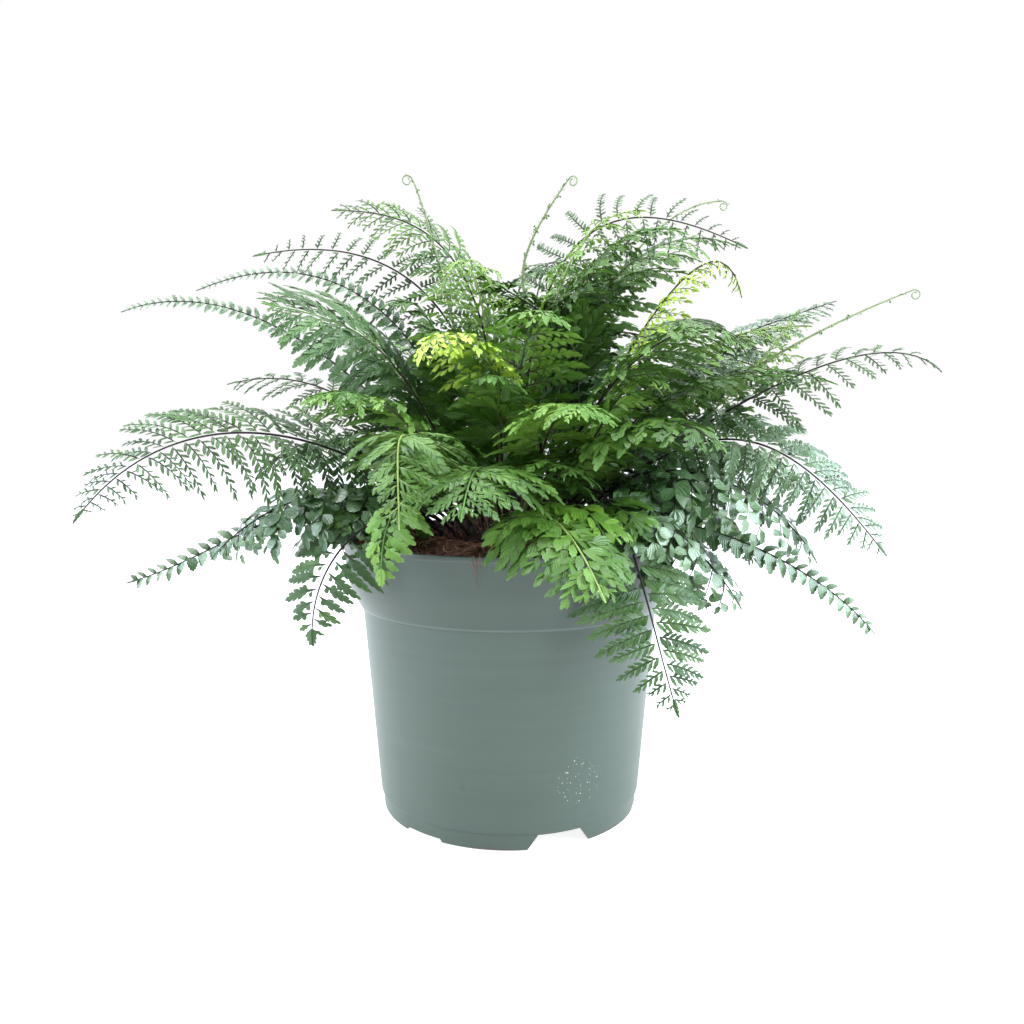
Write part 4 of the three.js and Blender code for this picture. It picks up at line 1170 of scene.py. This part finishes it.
# ---- Stage, light and camera ----
FLOOR_HALF, FLOOR_DROP = 6, 0.0004  # metres
FRONT_LIGHT, SIDE_LIGHT = 0.14, 1.08
SOFTBOXES = [
    ("left_softbox", (-1.08, -0.25, 0.7), (1.0, 1.2), 34, (0.78, 0.9, 1.0)),
    ("right_softbox", (1.08, -0.32, 0.7), (1.0, 1.2), 43, (0.78, 0.9, 1.0)),
    ("top_softbox", (0, 0.25, 1.5), (1.4, 1.0), 26, (1, 1, 1)),
    ("front_softbox", (0, -0.95, 1.25), (1.0, 0.8), 1, (1.0, 1.0, 0.97)),
]
LIGHT_TARGET = (0, 0, 0.2)
FOCAL_PX, FRAME_PX, SENSOR = 892, 1024, 36
EYE, LOOKING_DOWN = (0.0014, -0.5127, 0.2156), 0.093  # metres and radians


def make_floor():
    mesh = bpy.data.meshes.new("floor")
    corners = [(x * FLOOR_HALF, y * FLOOR_HALF, 0) for x, y in ((-1, -1), (1, -1), (1, 1), (-1, 1))]
    mesh.from_pydata(corners, [], [(0, 1, 2, 3)])
    grey, white = (0.5, 0.5, 0.5, 1), (1, 1, 1, 1)
    floor = Surface("studio_floor")
    mesh.materials.append(floor.finish(grey, 0.9, 0.0, Emission_Color=white, Emission_Strength=0.86))
    ob = new_object("studio_floor", mesh)
    ob.location.z = -FLOOR_DROP


def softbox(name, place, size, power, colour):
    light = bpy.data.lights.new(name, "AREA")
    light.shape, light.size, light.size_y = "RECTANGLE", *size
    light.energy, light.color = power, colour
    ob = new_object(name, light)
    ob.location = place
    ob.rotation_euler = (Vector(LIGHT_TARGET) - Vector(place)).to_track_quat("-Z", "Y").to_euler()


def studio_world():
    """White to the eye; as light, dim from in front of the plant and bright, slightly blue, elsewhere."""
    world = bpy.data.worlds.new("studio")
    bpy.context.scene.world = world
    t = Tree(world)
    plain = t.nodes["Background"]
    t.put(plain.inputs["Color"], (1, 1, 1, 1))
    toward = t.split(t.add("TexCoord", {}).outputs["Generated"])["Y"]
    limits = {"From Min": -0.86, "From Max": -0.2, "To Min": FRONT_LIGHT, "To Max": SIDE_LIGHT}
    spread = t.add("MapRange", {**limits, "Value": toward}, interpolation_type="SMOOTHSTEP")
    strength = spread.outputs["Result"]
    tint = t.ramp(strength, {0.2: (1, 1, 0.97, 1), 0.95: (0.86, 0.96, 1.12, 1)})
    lit = t.add("Background", {"Color": tint, "Strength": strength})
    seen = t.add("LightPath", {}).outputs["Is Camera Ray"]
    both = t.add("MixShader", {"Fac": seen, 1: lit.outputs[0], 2: plain.outputs[0]})
    t.put(t.nodes["World Output"].inputs["Surface"], both.outputs[0])


def make_camera():
    camera = bpy.data.cameras.new("camera")
    camera.sensor_width = SENSOR
    camera.lens = FOCAL_PX / FRAME_PX * SENSOR
    camera.clip_start, camera.clip_end = 0.01, 50
    ob = new_object("camera", camera)
    ob.location = EYE
    ob.rotation_euler = (np.pi / 2 - LOOKING_DOWN, 0, 0)
    bpy.context.scene.camera = ob


make_floor()
studio_world()
for row in SOFTBOXES:
    softbox(*row)
make_camera()
bpy.context.scene.view_settings.view_transform = "Standard"
